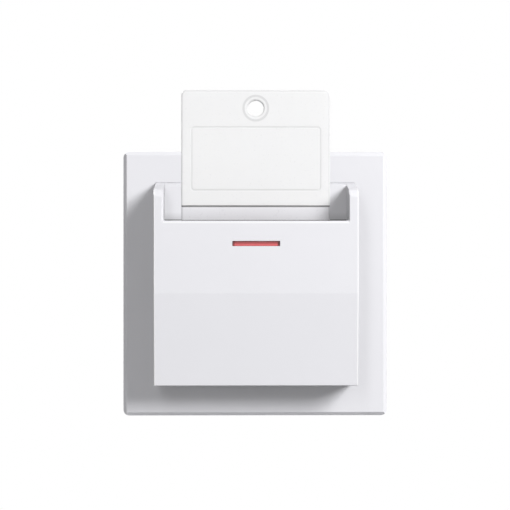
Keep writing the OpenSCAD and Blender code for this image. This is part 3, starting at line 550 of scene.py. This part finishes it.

# %% [markdown]
# ## Painted highlights on the holder
# Just under that dark line a bright one runs along the rim, and each side of the holder has one as well.
# In the photograph they are a pixel wide, and the small rounds of the mesh give only a part of them.
# Pale stripes in the material, painted highlights, stand in for the rest. They are two more lines from the
# outline group:
# a rectangle as long as the rim with next to no height, and one as wide as the holder and far taller.

# %% Painted highlights
RIM_HIGHLIGHT = {"Middle_Z": 18.42, "Half_Width": 27.6, "Half_Height": 0.02, "Corner": 0.02, "Line": 0.22,
              "Back_Limit": -22}
SIDE_HIGHLIGHTS = {"Half_Width": 30.3, "Half_Height": 45, "Corner": 0.05, "Line": 0.2, "Back_Limit": -20}
HIGHLIGHT_WHITE = (0.985, 0.985, 1.0, 1)
highlit_holder_white = satin_white.copy()
highlit_holder_white.name = "highlit_holder_white"
# Painted highlights: pale stripes along the rim and along both sides of the holder.
for painted_highlight in (RIM_HIGHLIGHT, SIDE_HIGHLIGHTS):
    recolour(highlit_holder_white, mask_of(highlit_holder_white.node_tree, outline_mask, **painted_highlight), HIGHLIGHT_WHITE)
card_holder.data.materials[0] = highlit_holder_white
print("striped:", highlit_holder_white.name, "on", card_holder.name)

# %% [markdown]
# In the photograph the tag throws no shadow that can be seen,
# and little light bounces from holder and tag to the frame beside them.
# So the tag casts no shadow here, and light that leaves a matt surface passes through these three pieces.
# A greyer plastic would take the light off the frame as well, but the pieces themselves would turn grey.

# %% Less bounced light
tag_body.visible_shadow = False
for piece in (tag_body, card_holder, pocket_back):
    piece.visible_diffuse = False
    print(piece.name, "is left out of bounced light")

# %% [markdown]
# ## The red window
# A slit in the front wall holds a red window, and a small lamp behind it shows where the switch is at night.
# Such a window is moulded in tinted acrylic, often with fine flutes on its face that spread the light.
# The flutes are far finer than the mesh, so a wave texture draws them as a bump.
# In the photograph the window is darker along its upper half and at its ends than the slit's shadow makes it,
# so two painted marks add to that shadow.

# %% Red window
FLUTE_SCALE = 700.0
FLUTE_DEPTH = 2e-5
WINDOW_END_SHADE = {"Middle_Z": 12.2, "Half_Width": 7.05, "Half_Height": 3, "Corner": 0.05, "Line": 0.85}
tinted_red = plastic("tinted_red", (0.76, 0.135, 0.145), bump=1e-6, Grain=900.0, Gloss=0.2, Shade_Spread=0.25)
node, calc, link = tools(tinted_red.node_tree)
normal = tinted_red.node_tree.nodes["Principled BSDF"].inputs["Normal"]
place = node("ShaderNodeTexCoord").outputs["Object"]
flutes = node("ShaderNodeTexWave", {"bands_direction": "X"}, Vector=place, Scale=FLUTE_SCALE)
ridged = node("ShaderNodeBump", Height=flutes.outputs["Fac"], Strength=1.0, Distance=FLUTE_DEPTH,
              Normal=normal.links[0].from_socket)
link(ridged.outputs["Normal"], normal)
# Painted shade at the window's ends and along its upper half.
paint_shade(tinted_red, {
    "ends": (outline_mask, 0.6, WINDOW_END_SHADE),
    "upper half": (level_band, 0.42, {"Low": 11.95, "High": 12.9, "Fade": 0.3}),
})
lamp_window = softened("indicator_lens", "lamp_window", round_mm=0.1, material=tinted_red)
print(lamp_window.name, "faces:", len(lamp_window.data.polygons))

# %% [markdown]
# ## Grey mouldings behind the frame
# The carrier, the mechanism box, the slide and the rocker are moulded in a grey plastic that stands heat.
# It is filled with mineral powder, which makes it duller and coarser than the white parts.
# These pieces are rounded like the white ones, so a loop over their names and rounds is enough.

# %% Grey mouldings
GREY_ROUNDS = {
    "carrier_plate": ("carrier_moulding", 0.15),
    "rear_housing": ("mechanism_box", 0.2),
    "card_slider": ("card_slide_moulding", 0.12),
    "rocker_lever": ("rocker_moulding", 0.1),
}
for solid, (name, round_mm) in GREY_ROUNDS.items():
    piece = softened(solid, name, round_mm, filled_grey)
    print(piece.name, "faces:", len(piece.data.polygons))

# %% [markdown]
# ## Rolled and plated metal
# The strap, the claws with their pins and all the screws are zinc plated steel.
# The springs and the rocker's axle are bare steel, and contacts, terminals and lamp pins are brass.
# Rolled sheet keeps fine lines along the way it went through the mill,
# and handling leaves dull, darker patches.
# Both are one shader group: stretched noise for the lines, slow noise for the patches.

# %% Group: rolled metal
STAIN_FROM = 0.5
STAIN_FULL = 0.75
rolled_metal, taken, given = shader_group(
    "rolled_metal",
    {"Grain": 1200.0, "Stretch": 0.12, "Shade Spread": 0.12, "Gloss": 0.3, "Gloss Spread": 0.25,
     "Patches": 160.0},
    ["Shade", "Roughness", "Height", "Stain"],
)
node, calc, link = tools(rolled_metal)
place = node("ShaderNodeTexCoord").outputs["Object"]
ratio = node("ShaderNodeCombineXYZ", X=taken["Stretch"], Y=1.0, Z=1.0).outputs[0]
drawn = vectors(rolled_metal, "MULTIPLY", place, ratio)["Vector"]
lines = node("ShaderNodeTexNoise", Vector=drawn, Scale=taken["Grain"], Detail=4.0).outputs["Fac"]
patches = node("ShaderNodeTexNoise", Vector=place, Scale=taken["Patches"], Detail=3.0).outputs["Fac"]
lighter = calc("MULTIPLY", calc("SUBTRACT", lines, MIDDLE), taken["Shade Spread"])
rougher = calc("MULTIPLY", calc("SUBTRACT", patches, MIDDLE), taken["Gloss Spread"])
stain = node("ShaderNodeMapRange", {"interpolation_type": "SMOOTHSTEP"},
             Value=patches, From_Min=STAIN_FROM, From_Max=STAIN_FULL)
link(calc("ADD", lighter, 1.0), given["Shade"])
link(calc("ADD", rougher, taken["Gloss"]), given["Roughness"])
link(lines, given["Height"])
link(stain.outputs["Result"], given["Stain"])
print("group", rolled_metal.name, "with", len(rolled_metal.nodes), "nodes")

# %% [markdown]
# Each metal goes from its bright colour to its dull one where the group says that it is stained.
# Zinc plate is the dullest of the three, and bare steel has the smallest patches.


# %% Metal finishes
def metal(name, bright, dull, bump, **skin):
    """Metal with the shared sheet. Bump is the depth of its lines in metres."""
    material = bpy.data.materials.new(name)
    material.use_nodes = True
    node, calc, link = tools(material.node_tree)
    look = material.node_tree.nodes["Principled BSDF"].inputs
    look["Metallic"].default_value = 1.0
    sheet = node("ShaderNodeGroup", {"node_tree": rolled_metal}, **skin).outputs
    darkened = node("ShaderNodeMix", {"data_type": "RGBA"}, Factor=sheet["Stain"], A=(*bright, 1), B=(*dull, 1))
    lined = vectors(material.node_tree, "SCALE", darkened.outputs["Result"], Scale=sheet["Shade"])["Vector"]
    grain = node("ShaderNodeBump", Height=sheet["Height"], Strength=1.0, Distance=bump)
    link(lined, look["Base Color"])
    link(sheet["Roughness"], look["Roughness"])
    link(grain.outputs["Normal"], look["Normal"])
    return material


zinc_plate = metal("zinc_plate", (0.62, 0.64, 0.67), (0.47, 0.48, 0.48), bump=2e-6, Gloss=0.4)
bare_steel = metal("bare_steel", (0.6, 0.61, 0.63), (0.42, 0.39, 0.36), bump=1e-6, Gloss=0.26, Patches=300.0)
rolled_brass = metal("rolled_brass", (0.78, 0.6, 0.27), (0.5, 0.34, 0.15), bump=1.5e-6, Gloss=0.28)
METALS = {"zinc_steel": zinc_plate, "spring_steel": bare_steel, "brass_sheet": rolled_brass}
print("finishes:", [finish.name for finish in METALS.values()])

# %% [markdown]
# ## Stamped and bent pieces
# A punch leaves one rounded and one sharp edge on sheet metal, and plating softens both.
# The two edges could be made unlike, but at this size nobody would see it, so a narrow bevel is enough.
# Contacts and clamp are thin, so theirs is narrower than the strap's.

# %% Stamped pieces
STAMPED = {
    "mounting_strap": ("steel_strap", 0.12, "zinc_steel"),
    "claw_left": ("left_claw_sheet", 0.1, "zinc_steel"),
    "claw_right": ("right_claw_sheet", 0.1, "zinc_steel"),
    "claw_pins": ("claw_hinge_pins", 0.15, "zinc_steel"),
    "card_clamp": ("clamp_leaf", 0.05, "spring_steel"),
    "rocker_pin": ("rocker_axle", 0.15, "spring_steel"),
    "common_bracket": ("rocker_bracket", 0.08, "brass_sheet"),
    "moving_contact": ("rocker_contact", 0.08, "brass_sheet"),
    "contact_on": ("working_contact", 0.08, "brass_sheet"),
    "contact_off": ("resting_contact", 0.08, "brass_sheet"),
    "terminal_blocks": ("terminal_cages", 0.15, "brass_sheet"),
    "lamp_pins": ("lamp_feed_pins", 0.1, "brass_sheet"),
}
for solid, (name, round_mm, slot) in STAMPED.items():
    piece = softened(solid, name, round_mm, METALS[slot])
    print(piece.name, "faces:", len(piece.data.polygons))

# %% [markdown]
# ## Screws from one node tree
# Nine screws of three sizes hold the box together, clamp the wires and spread the claws.
# Modelling each by hand would repeat the same steps, so one Geometry Nodes tree turns them all.
# A unit grid is wrapped round an axis like work on a lathe:
# its X becomes the angle, its Y the way along the profile.


# %% Helpers for geometry trees
def geometry_tree(name, inputs):
    """Geometry tree with named inputs {name: (kind, default)}, its inputs and its one output."""
    tree = bpy.data.node_groups.new(name, "GeometryNodeTree")
    tree.interface.new_socket("Places", in_out="INPUT", socket_type="NodeSocketGeometry")
    for socket, (kind, default) in inputs.items():
        made = tree.interface.new_socket(socket, in_out="INPUT", socket_type="NodeSocket" + kind)
        if default is not None:
            made.default_value = default
    tree.interface.new_socket("Pieces", in_out="OUTPUT", socket_type="NodeSocketGeometry")
    return tree, tree.nodes.new("NodeGroupInput").outputs, tree.nodes.new("NodeGroupOutput").inputs


def lathe_grid(tree, around, along):
    """Unit grid as mesh, with its angle in radians and its way along the profile from 0 to 1."""
    node, calc, link = tools(tree)
    grid = node("GeometryNodeMeshGrid", Size_X=1.0, Size_Y=1.0, Vertices_X=around + 1, Vertices_Y=along + 1)
    place = node("GeometryNodeInputPosition").outputs[0]
    split = node("ShaderNodeSeparateXYZ", Vector=place).outputs
    angle = calc("MULTIPLY", calc("ADD", split["X"], 0.5), math.tau)
    return grid.outputs["Mesh"], angle, calc("ADD", split["Y"], 0.5)


SEAM = 1e-6


def turned(tree, grid, angle, radius, height):
    """Wraps a lathe grid round Z and closes its seam and its poles."""
    node, calc, link = tools(tree)
    across = calc("MULTIPLY", radius, calc("COSINE", angle))
    aside = calc("MULTIPLY", radius, calc("SINE", angle))
    place = node("ShaderNodeCombineXYZ", X=across, Y=aside, Z=height).outputs[0]
    wrapped = node("GeometryNodeSetPosition", Geometry=grid, Position=place).outputs[0]
    return node("GeometryNodeMergeByDistance", Geometry=wrapped, Distance=SEAM).outputs[0]


print("geometry helpers ready")

# %% [markdown]
# The head is a low dome with a flat underside.
# Its profile is a quarter of an oval whose shoulder is drawn out.
# A boolean cuts one slot into it, or two that cross.

# %% Tree: screw head
UNDERSIDE = 0.2
SHOULDER = 0.4
HEAD_GRID = (40, 24)
screw_tree, taken, given = geometry_tree("machine_screw", {
    "Head Radius": ("Float", 2.4 * MM), "Head Height": ("Float", 2.0 * MM),
    "Shank Radius": ("Float", 1.0 * MM), "Shank Length": ("Float", 20.0 * MM),
    "Pitch": ("Float", 0.8 * MM), "Thread Depth": ("Float", 0.18 * MM),
    "Slot Length": ("Float", 3.0 * MM), "Slot Width": ("Float", 0.7 * MM),
    "Slot Depth": ("Float", 0.8 * MM), "Cross Slot": ("Bool", False),
    "Turn": ("Vector", (0, 0, 0)), "Slack": ("Float", 0.5), "Seed": ("Int", 3),
    "Finish": ("Material", None),
})
node, calc, link = tools(screw_tree)
grid, angle, way = lathe_grid(screw_tree, *HEAD_GRID)
below = calc("MINIMUM", calc("DIVIDE", way, UNDERSIDE), 1.0)
above = calc("MAXIMUM", calc("SUBTRACT", way, UNDERSIDE), 0.0)
arc = calc("MULTIPLY", above, math.pi / 2 / (1 - UNDERSIDE))
inward = calc("MAXIMUM", calc("COSINE", arc), 0.0)
outline = calc("MULTIPLY", below, calc("POWER", inward, SHOULDER))
upward = calc("POWER", calc("SINE", arc), SHOULDER)
head_radius = calc("MULTIPLY", outline, taken["Head Radius"])
head = turned(screw_tree, grid, angle, head_radius, calc("MULTIPLY", upward, taken["Head Height"]))

slot_height = calc("MULTIPLY", taken["Slot Depth"], 2.0)
slot_size = node("ShaderNodeCombineXYZ", X=taken["Slot Length"], Y=taken["Slot Width"], Z=slot_height)
cutter = node("GeometryNodeMeshCube", Size=slot_size.outputs[0]).outputs["Mesh"]
lift = node("ShaderNodeCombineXYZ", Z=taken["Head Height"]).outputs[0]
one_slot = node("GeometryNodeTransform", Geometry=cutter, Translation=lift).outputs[0]
quarter = node("GeometryNodeTransform", Geometry=one_slot, Rotation=(0, 0, math.pi / 2)).outputs[0]
other_slot = node("GeometryNodeSwitch", {"input_type": "GEOMETRY"}, Switch=taken["Cross Slot"])
link(quarter, other_slot.inputs["True"])
slotted = node("GeometryNodeMeshBoolean", {"operation": "DIFFERENCE", "solver": "EXACT"},
               Mesh_1=head, Mesh_2=one_slot)
link(other_slot.outputs[0], slotted.inputs["Mesh 2"])
print("tree", screw_tree.name, "has a head with", len(screw_tree.nodes), "nodes")

# %% [markdown]
# On the shank the radius depends on angle and height together, and that makes a true helical thread.
# A profile swept along a spiral could make one too, but it would be one more shell on the shank.
# The shank's tip is a short cone, and its upper end reaches into the head.

# %% Tree: threaded shank
SHANK_GRID = (24, 150)
TIP_SHARE = 0.55
INTO_HEAD = 0.3 * MM
POLE = 0.001
grid, angle, way = lathe_grid(screw_tree, *SHANK_GRID)
from_tip = calc("MULTIPLY", way, calc("ADD", taken["Shank Length"], INTO_HEAD))
height = calc("SUBTRACT", from_tip, taken["Shank Length"])
turns = calc("SUBTRACT", calc("DIVIDE", height, taken["Pitch"]), calc("DIVIDE", angle, math.tau))
wave = calc("SUBTRACT", calc("FRACT", turns), 0.5)
valley = calc("MULTIPLY", calc("ABSOLUTE", wave), 2.0)
ridge = calc("SUBTRACT", taken["Shank Radius"], calc("MULTIPLY", valley, taken["Thread Depth"]))
tip = calc("ADD", from_tip, calc("MULTIPLY", taken["Shank Radius"], TIP_SHARE))
off_poles = calc("MULTIPLY", calc("GREATER_THAN", way, POLE), calc("LESS_THAN", way, 1 - POLE))
shank_radius = calc("MULTIPLY", calc("MINIMUM", ridge, tip), off_poles)
shank = turned(screw_tree, grid, angle, shank_radius, height)
print("tree", screw_tree.name, "has a shank too, with", len(screw_tree.nodes), "nodes")

# %% [markdown]
# Each screw stands on a point of a small mesh that holds the places.
# No two are tightened to the same angle, so a seeded random value turns each one a little.

# %% Tree: screws on their places
screw = node("GeometryNodeJoinGeometry", Geometry=slotted.outputs["Mesh"])
link(shank, screw.inputs[0])
stood = node("GeometryNodeInstanceOnPoints", Points=taken["Places"], Instance=screw.outputs[0],
             Rotation=taken["Turn"])
chance = node("FunctionNodeRandomValue", {"data_type": "FLOAT"}, Seed=taken["Seed"])
link(calc("MULTIPLY", taken["Slack"], -1.0), chance.inputs[2])
link(taken["Slack"], chance.inputs[3])
tightened = node("ShaderNodeCombineXYZ", Z=chance.outputs[1]).outputs[0]
driven = node("GeometryNodeRotateInstances", Instances=stood.outputs[0], Rotation=tightened, Local_Space=True)
realized = node("GeometryNodeRealizeInstances", Geometry=driven.outputs[0]).outputs[0]
finished = node("GeometryNodeSetMaterial", Geometry=realized, Material=taken["Finish"])
link(finished.outputs[0], given["Pieces"])
print("tree", screw_tree.name, "with", len(screw_tree.nodes), "nodes")

# %% [markdown]
# The tree is run once for each of the three sizes. The box screws have a cross slot and a long shank,
# the wire screws are short, and the spreader screws pull the claws.


# %% Screws in their places
def grown(name, tree, places, **inputs):
    """Runs a geometry tree on points given in millimetres and bakes it into a plain mesh."""
    mesh = bpy.data.meshes.new(name)
    mesh.from_pydata([Vector(place) * MM for place in places], [], [])
    piece = bpy.data.objects.new(name, mesh)
    scene.collection.objects.link(piece)
    build = piece.modifiers.new("build", "NODES")
    build.node_group = tree
    keys = {item.name: item.identifier for item in tree.interface.items_tree if item.in_out == "INPUT"}
    for socket, value in inputs.items():
        build[keys[socket.replace("_", " ")]] = value
    settled(piece)
    work = bmesh.new()
    work.from_mesh(piece.data)
    cleaned(work)
    bmesh.ops.recalc_face_normals(work, faces=work.faces)
    work.to_mesh(piece.data)
    work.free()
    piece.data.shade_smooth()
    piece.data.set_sharp_from_angle(angle=HARD)
    return piece


HEAD_TO_FRONT = (math.radians(90), 0, 0)
HEAD_DOWN = (math.radians(180), 0, 0)
BOX_PLACES = [(x, -9.5, z) for x in (-16.4, 16.4) for z in (-17.4, 17.4)]
WIRE_PLACES = [(x, 19.2, -19.4) for x in (-10, 0, 10)]
SPREADER_PLACES = [(25.6, -1.2, 9), (-25.6, -1.2, -9)]
box_screws = grown(
    "box_screws", screw_tree, BOX_PLACES,
    Shank_Length=20.5 * MM, Slot_Length=2.9 * MM, Slot_Depth=1.0 * MM, Cross_Slot=True,
    Turn=HEAD_TO_FRONT, Finish=zinc_plate)
wire_screws = grown(
    "wire_screws", screw_tree, WIRE_PLACES,
    Head_Radius=2.5 * MM, Head_Height=1.6 * MM, Shank_Radius=1.5 * MM, Shank_Length=2.9 * MM,
    Slot_Length=6.0 * MM, Turn=HEAD_DOWN, Finish=zinc_plate)
spreader_screws = grown(
    "spreader_screws", screw_tree, SPREADER_PLACES,
    Head_Radius=2.6 * MM, Head_Height=1.6 * MM, Shank_Radius=1.25 * MM, Shank_Length=11.2 * MM,
    Slot_Length=6.0 * MM, Turn=HEAD_TO_FRONT, Finish=zinc_plate)
SCREWED = {box_screws: "assembly_screws", wire_screws: "terminal_screws", spreader_screws: "claw_screws"}
for piece, solid in SCREWED.items():
    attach(piece, "switch_body")
    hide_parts(solid)
    print(piece.name, "faces:", len(piece.data.polygons))

# %% [markdown]
# ## The return spring
# A coil of steel wire under the slide pushes the card back up.
# Its end turns lie closer than the middle ones, so that it stands upright on its seat.
# The Screw modifier makes coils as well, but with an even pitch.
# Here a spiral curve gives the path, an eased height closes the end turns, and a small circle is swept along.

# %% Tree: coil spring
CLOSED_ENDS = 0.45
STEPS_A_TURN = 36
WIRE_SIDES = 12
coil_tree, taken, given = geometry_tree("coil_spring", {
    "Coil Radius": ("Float", 1.42 * MM), "Wire Radius": ("Float", 0.28 * MM),
    "Length": ("Float", 7.5 * MM), "Turns": ("Float", 5.0), "Finish": ("Material", None),
})
node, calc, link = tools(coil_tree)
spiral = node("GeometryNodeCurveSpiral", Resolution=STEPS_A_TURN, Rotations=taken["Turns"],
              Start_Radius=taken["Coil Radius"], End_Radius=taken["Coil Radius"], Height=0.0)
way = node("GeometryNodeSplineParameter").outputs["Factor"]
eased = node("ShaderNodeMapRange", {"interpolation_type": "SMOOTHSTEP"}, Value=way).outputs["Result"]
risen = calc("ADD", calc("MULTIPLY", way, 1 - CLOSED_ENDS), calc("MULTIPLY", eased, CLOSED_ENDS))
wire = calc("MULTIPLY", taken["Wire Radius"], 2.0)
rise = calc("MULTIPLY", risen, calc("SUBTRACT", taken["Length"], wire))
flat_place = node("GeometryNodeInputPosition").outputs[0]
split = node("ShaderNodeSeparateXYZ", Vector=flat_place).outputs
place = node("ShaderNodeCombineXYZ", X=split["X"], Y=split["Y"], Z=calc("ADD", rise, taken["Wire Radius"]))
path = node("GeometryNodeSetPosition", Geometry=spiral.outputs["Curve"], Position=place.outputs[0])
section = node("GeometryNodeCurvePrimitiveCircle", Resolution=WIRE_SIDES, Radius=taken["Wire Radius"])
coil = node("GeometryNodeCurveToMesh", Curve=path.outputs[0], Profile_Curve=section.outputs["Curve"],
            Fill_Caps=True)
stood = node("GeometryNodeInstanceOnPoints", Points=taken["Places"], Instance=coil.outputs["Mesh"])
realized = node("GeometryNodeRealizeInstances", Geometry=stood.outputs[0]).outputs[0]
finished = node("GeometryNodeSetMaterial", Geometry=realized, Material=taken["Finish"])
link(finished.outputs[0], given["Pieces"])
print("tree", coil_tree.name, "with", len(coil_tree.nodes), "nodes")

# %% [markdown]
# The spring's foot stays on the box and its head goes with the slide.
# The mesh is built in its place at rest.

# %% Return spring
SPRING_FOOT = (0, -17.0, -26.5)
coil_spring = grown("coil_spring", coil_tree, [SPRING_FOOT], Finish=bare_steel)
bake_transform(coil_spring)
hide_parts("return_spring")
print(coil_spring.name, "faces:", len(coil_spring.data.polygons))

# %% [markdown]
# ## The lamp behind the window
# A small board carries a red lamp and its resistor, and two pins bring the current from the box.
# The board's green lacquer has paler lines where copper runs under it and tinned rings round the legs.
# The rings could be modelled, but they are so flat that a mask round each leg's place is enough.

# %% Lamp board
COPPER_LINES = 95.0
COPPER_FROM = 0.8
COPPER_GREEN = (0.07, 0.27, 0.1, 1)
TIN = (0.7, 0.7, 0.68, 1)
PAD_RADIUS = 1.0 * MM
LEGS = [(-10.0, 8.0), (10.0, 8.0), (2.0, 9.2), (9.2, 9.2), (-1.3, 12.2), (1.3, 12.2)]
green_lacquer = plastic("green_lacquer", (0.035, 0.15, 0.06), bump=2e-6, Grain=2200.0, Gloss=0.3,
                        Shade_Spread=0.3)
node, calc, link = tools(green_lacquer.node_tree)
place = node("ShaderNodeTexCoord").outputs["Object"]
copper = node("ShaderNodeTexWave", {"bands_direction": "Z"}, Vector=place, Scale=COPPER_LINES, Distortion=0.0)
split = node("ShaderNodeSeparateXYZ", Vector=place).outputs
flat = node("ShaderNodeCombineXYZ", X=split["X"], Z=split["Z"]).outputs[0]
pads = 0.0
for x, z in LEGS:
    gap = vectors(green_lacquer.node_tree, "DISTANCE", flat, Vector((x, 0, z)) * MM)["Value"]
    pads = calc("MAXIMUM", pads, calc("LESS_THAN", gap, PAD_RADIUS))
recolour(green_lacquer, calc("GREATER_THAN", copper.outputs["Fac"], COPPER_FROM), COPPER_GREEN)
recolour(green_lacquer, pads, TIN)
link(pads, green_lacquer.node_tree.nodes["Principled BSDF"].inputs["Metallic"])
lamp_card = softened("lamp_board", "lamp_card", round_mm=0.06, material=green_lacquer)
print(lamp_card.name, "with", len(LEGS), "soldered legs")

# %% [markdown]
# The resistor is a small lacquered barrel with colour rings. Rings of mesh would stand proud of it,
# and real ones are only paint, so they are steps of a colour ramp along its axis.
# The shade of the shared skin still varies over them.

# %% Resistor
BEIGE = (0.56, 0.44, 0.27)
BROWN = (0.16, 0.07, 0.03)
BLACK = (0.02, 0.02, 0.02)
RED = (0.45, 0.05, 0.03)
GOLD = (0.55, 0.4, 0.12)
RINGS = {0.0: BEIGE, 0.2: BROWN, 0.3: BEIGE, 0.4: BLACK, 0.48: BEIGE, 0.58: RED, 0.66: BEIGE,
         0.76: GOLD, 0.84: BEIGE}
RINGS_FROM = 2.9 * MM
RINGS_TO = 8.3 * MM
ringed_lacquer = plastic("ringed_lacquer", BEIGE, bump=3e-6, Grain=2000.0, Gloss=0.32, Shade_Spread=0.15)
node, calc, link = tools(ringed_lacquer.node_tree)
place = node("ShaderNodeTexCoord").outputs["Object"]
split = node("ShaderNodeSeparateXYZ", Vector=place).outputs
along = node("ShaderNodeMapRange", Value=split["X"], From_Min=RINGS_FROM, From_Max=RINGS_TO)
rings = node("ShaderNodeValToRGB", Fac=along.outputs["Result"])
rings.color_ramp.interpolation = "CONSTANT"
for where, colour in RINGS.items():
    stop = rings.color_ramp.elements[0] if where == 0 else rings.color_ramp.elements.new(where)
    stop.color = (*colour, 1)
rings.color_ramp.elements.remove(rings.color_ramp.elements[-1])
shaded = ringed_lacquer.node_tree.nodes["Principled BSDF"].inputs["Base Color"].links[0].from_node
link(rings.outputs["Color"], shaded.inputs[0])
series_resistor = softened("lamp_resistor", "series_resistor", round_mm=0.25, material=ringed_lacquer)
print(series_resistor.name, "with", len(RINGS), "colour steps")

# %% [markdown]
# The lamp is cast in red epoxy, which has a clear and glossy skin. A thin coat on the plastic gives that.

# %% Lamp
CLEAR_SKIN = 0.5
lamp_epoxy = plastic("lamp_epoxy", (0.6, 0.06, 0.06), bump=1e-6, Grain=700.0, Gloss=0.12, Shade_Spread=0.15)
lamp_epoxy.node_tree.nodes["Principled BSDF"].inputs["Coat Weight"].default_value = CLEAR_SKIN
lamp_bulb = softened("lamp_led", "lamp_bulb", round_mm=0.12, material=lamp_epoxy)
print(lamp_bulb.name, "faces:", len(lamp_bulb.data.polygons))
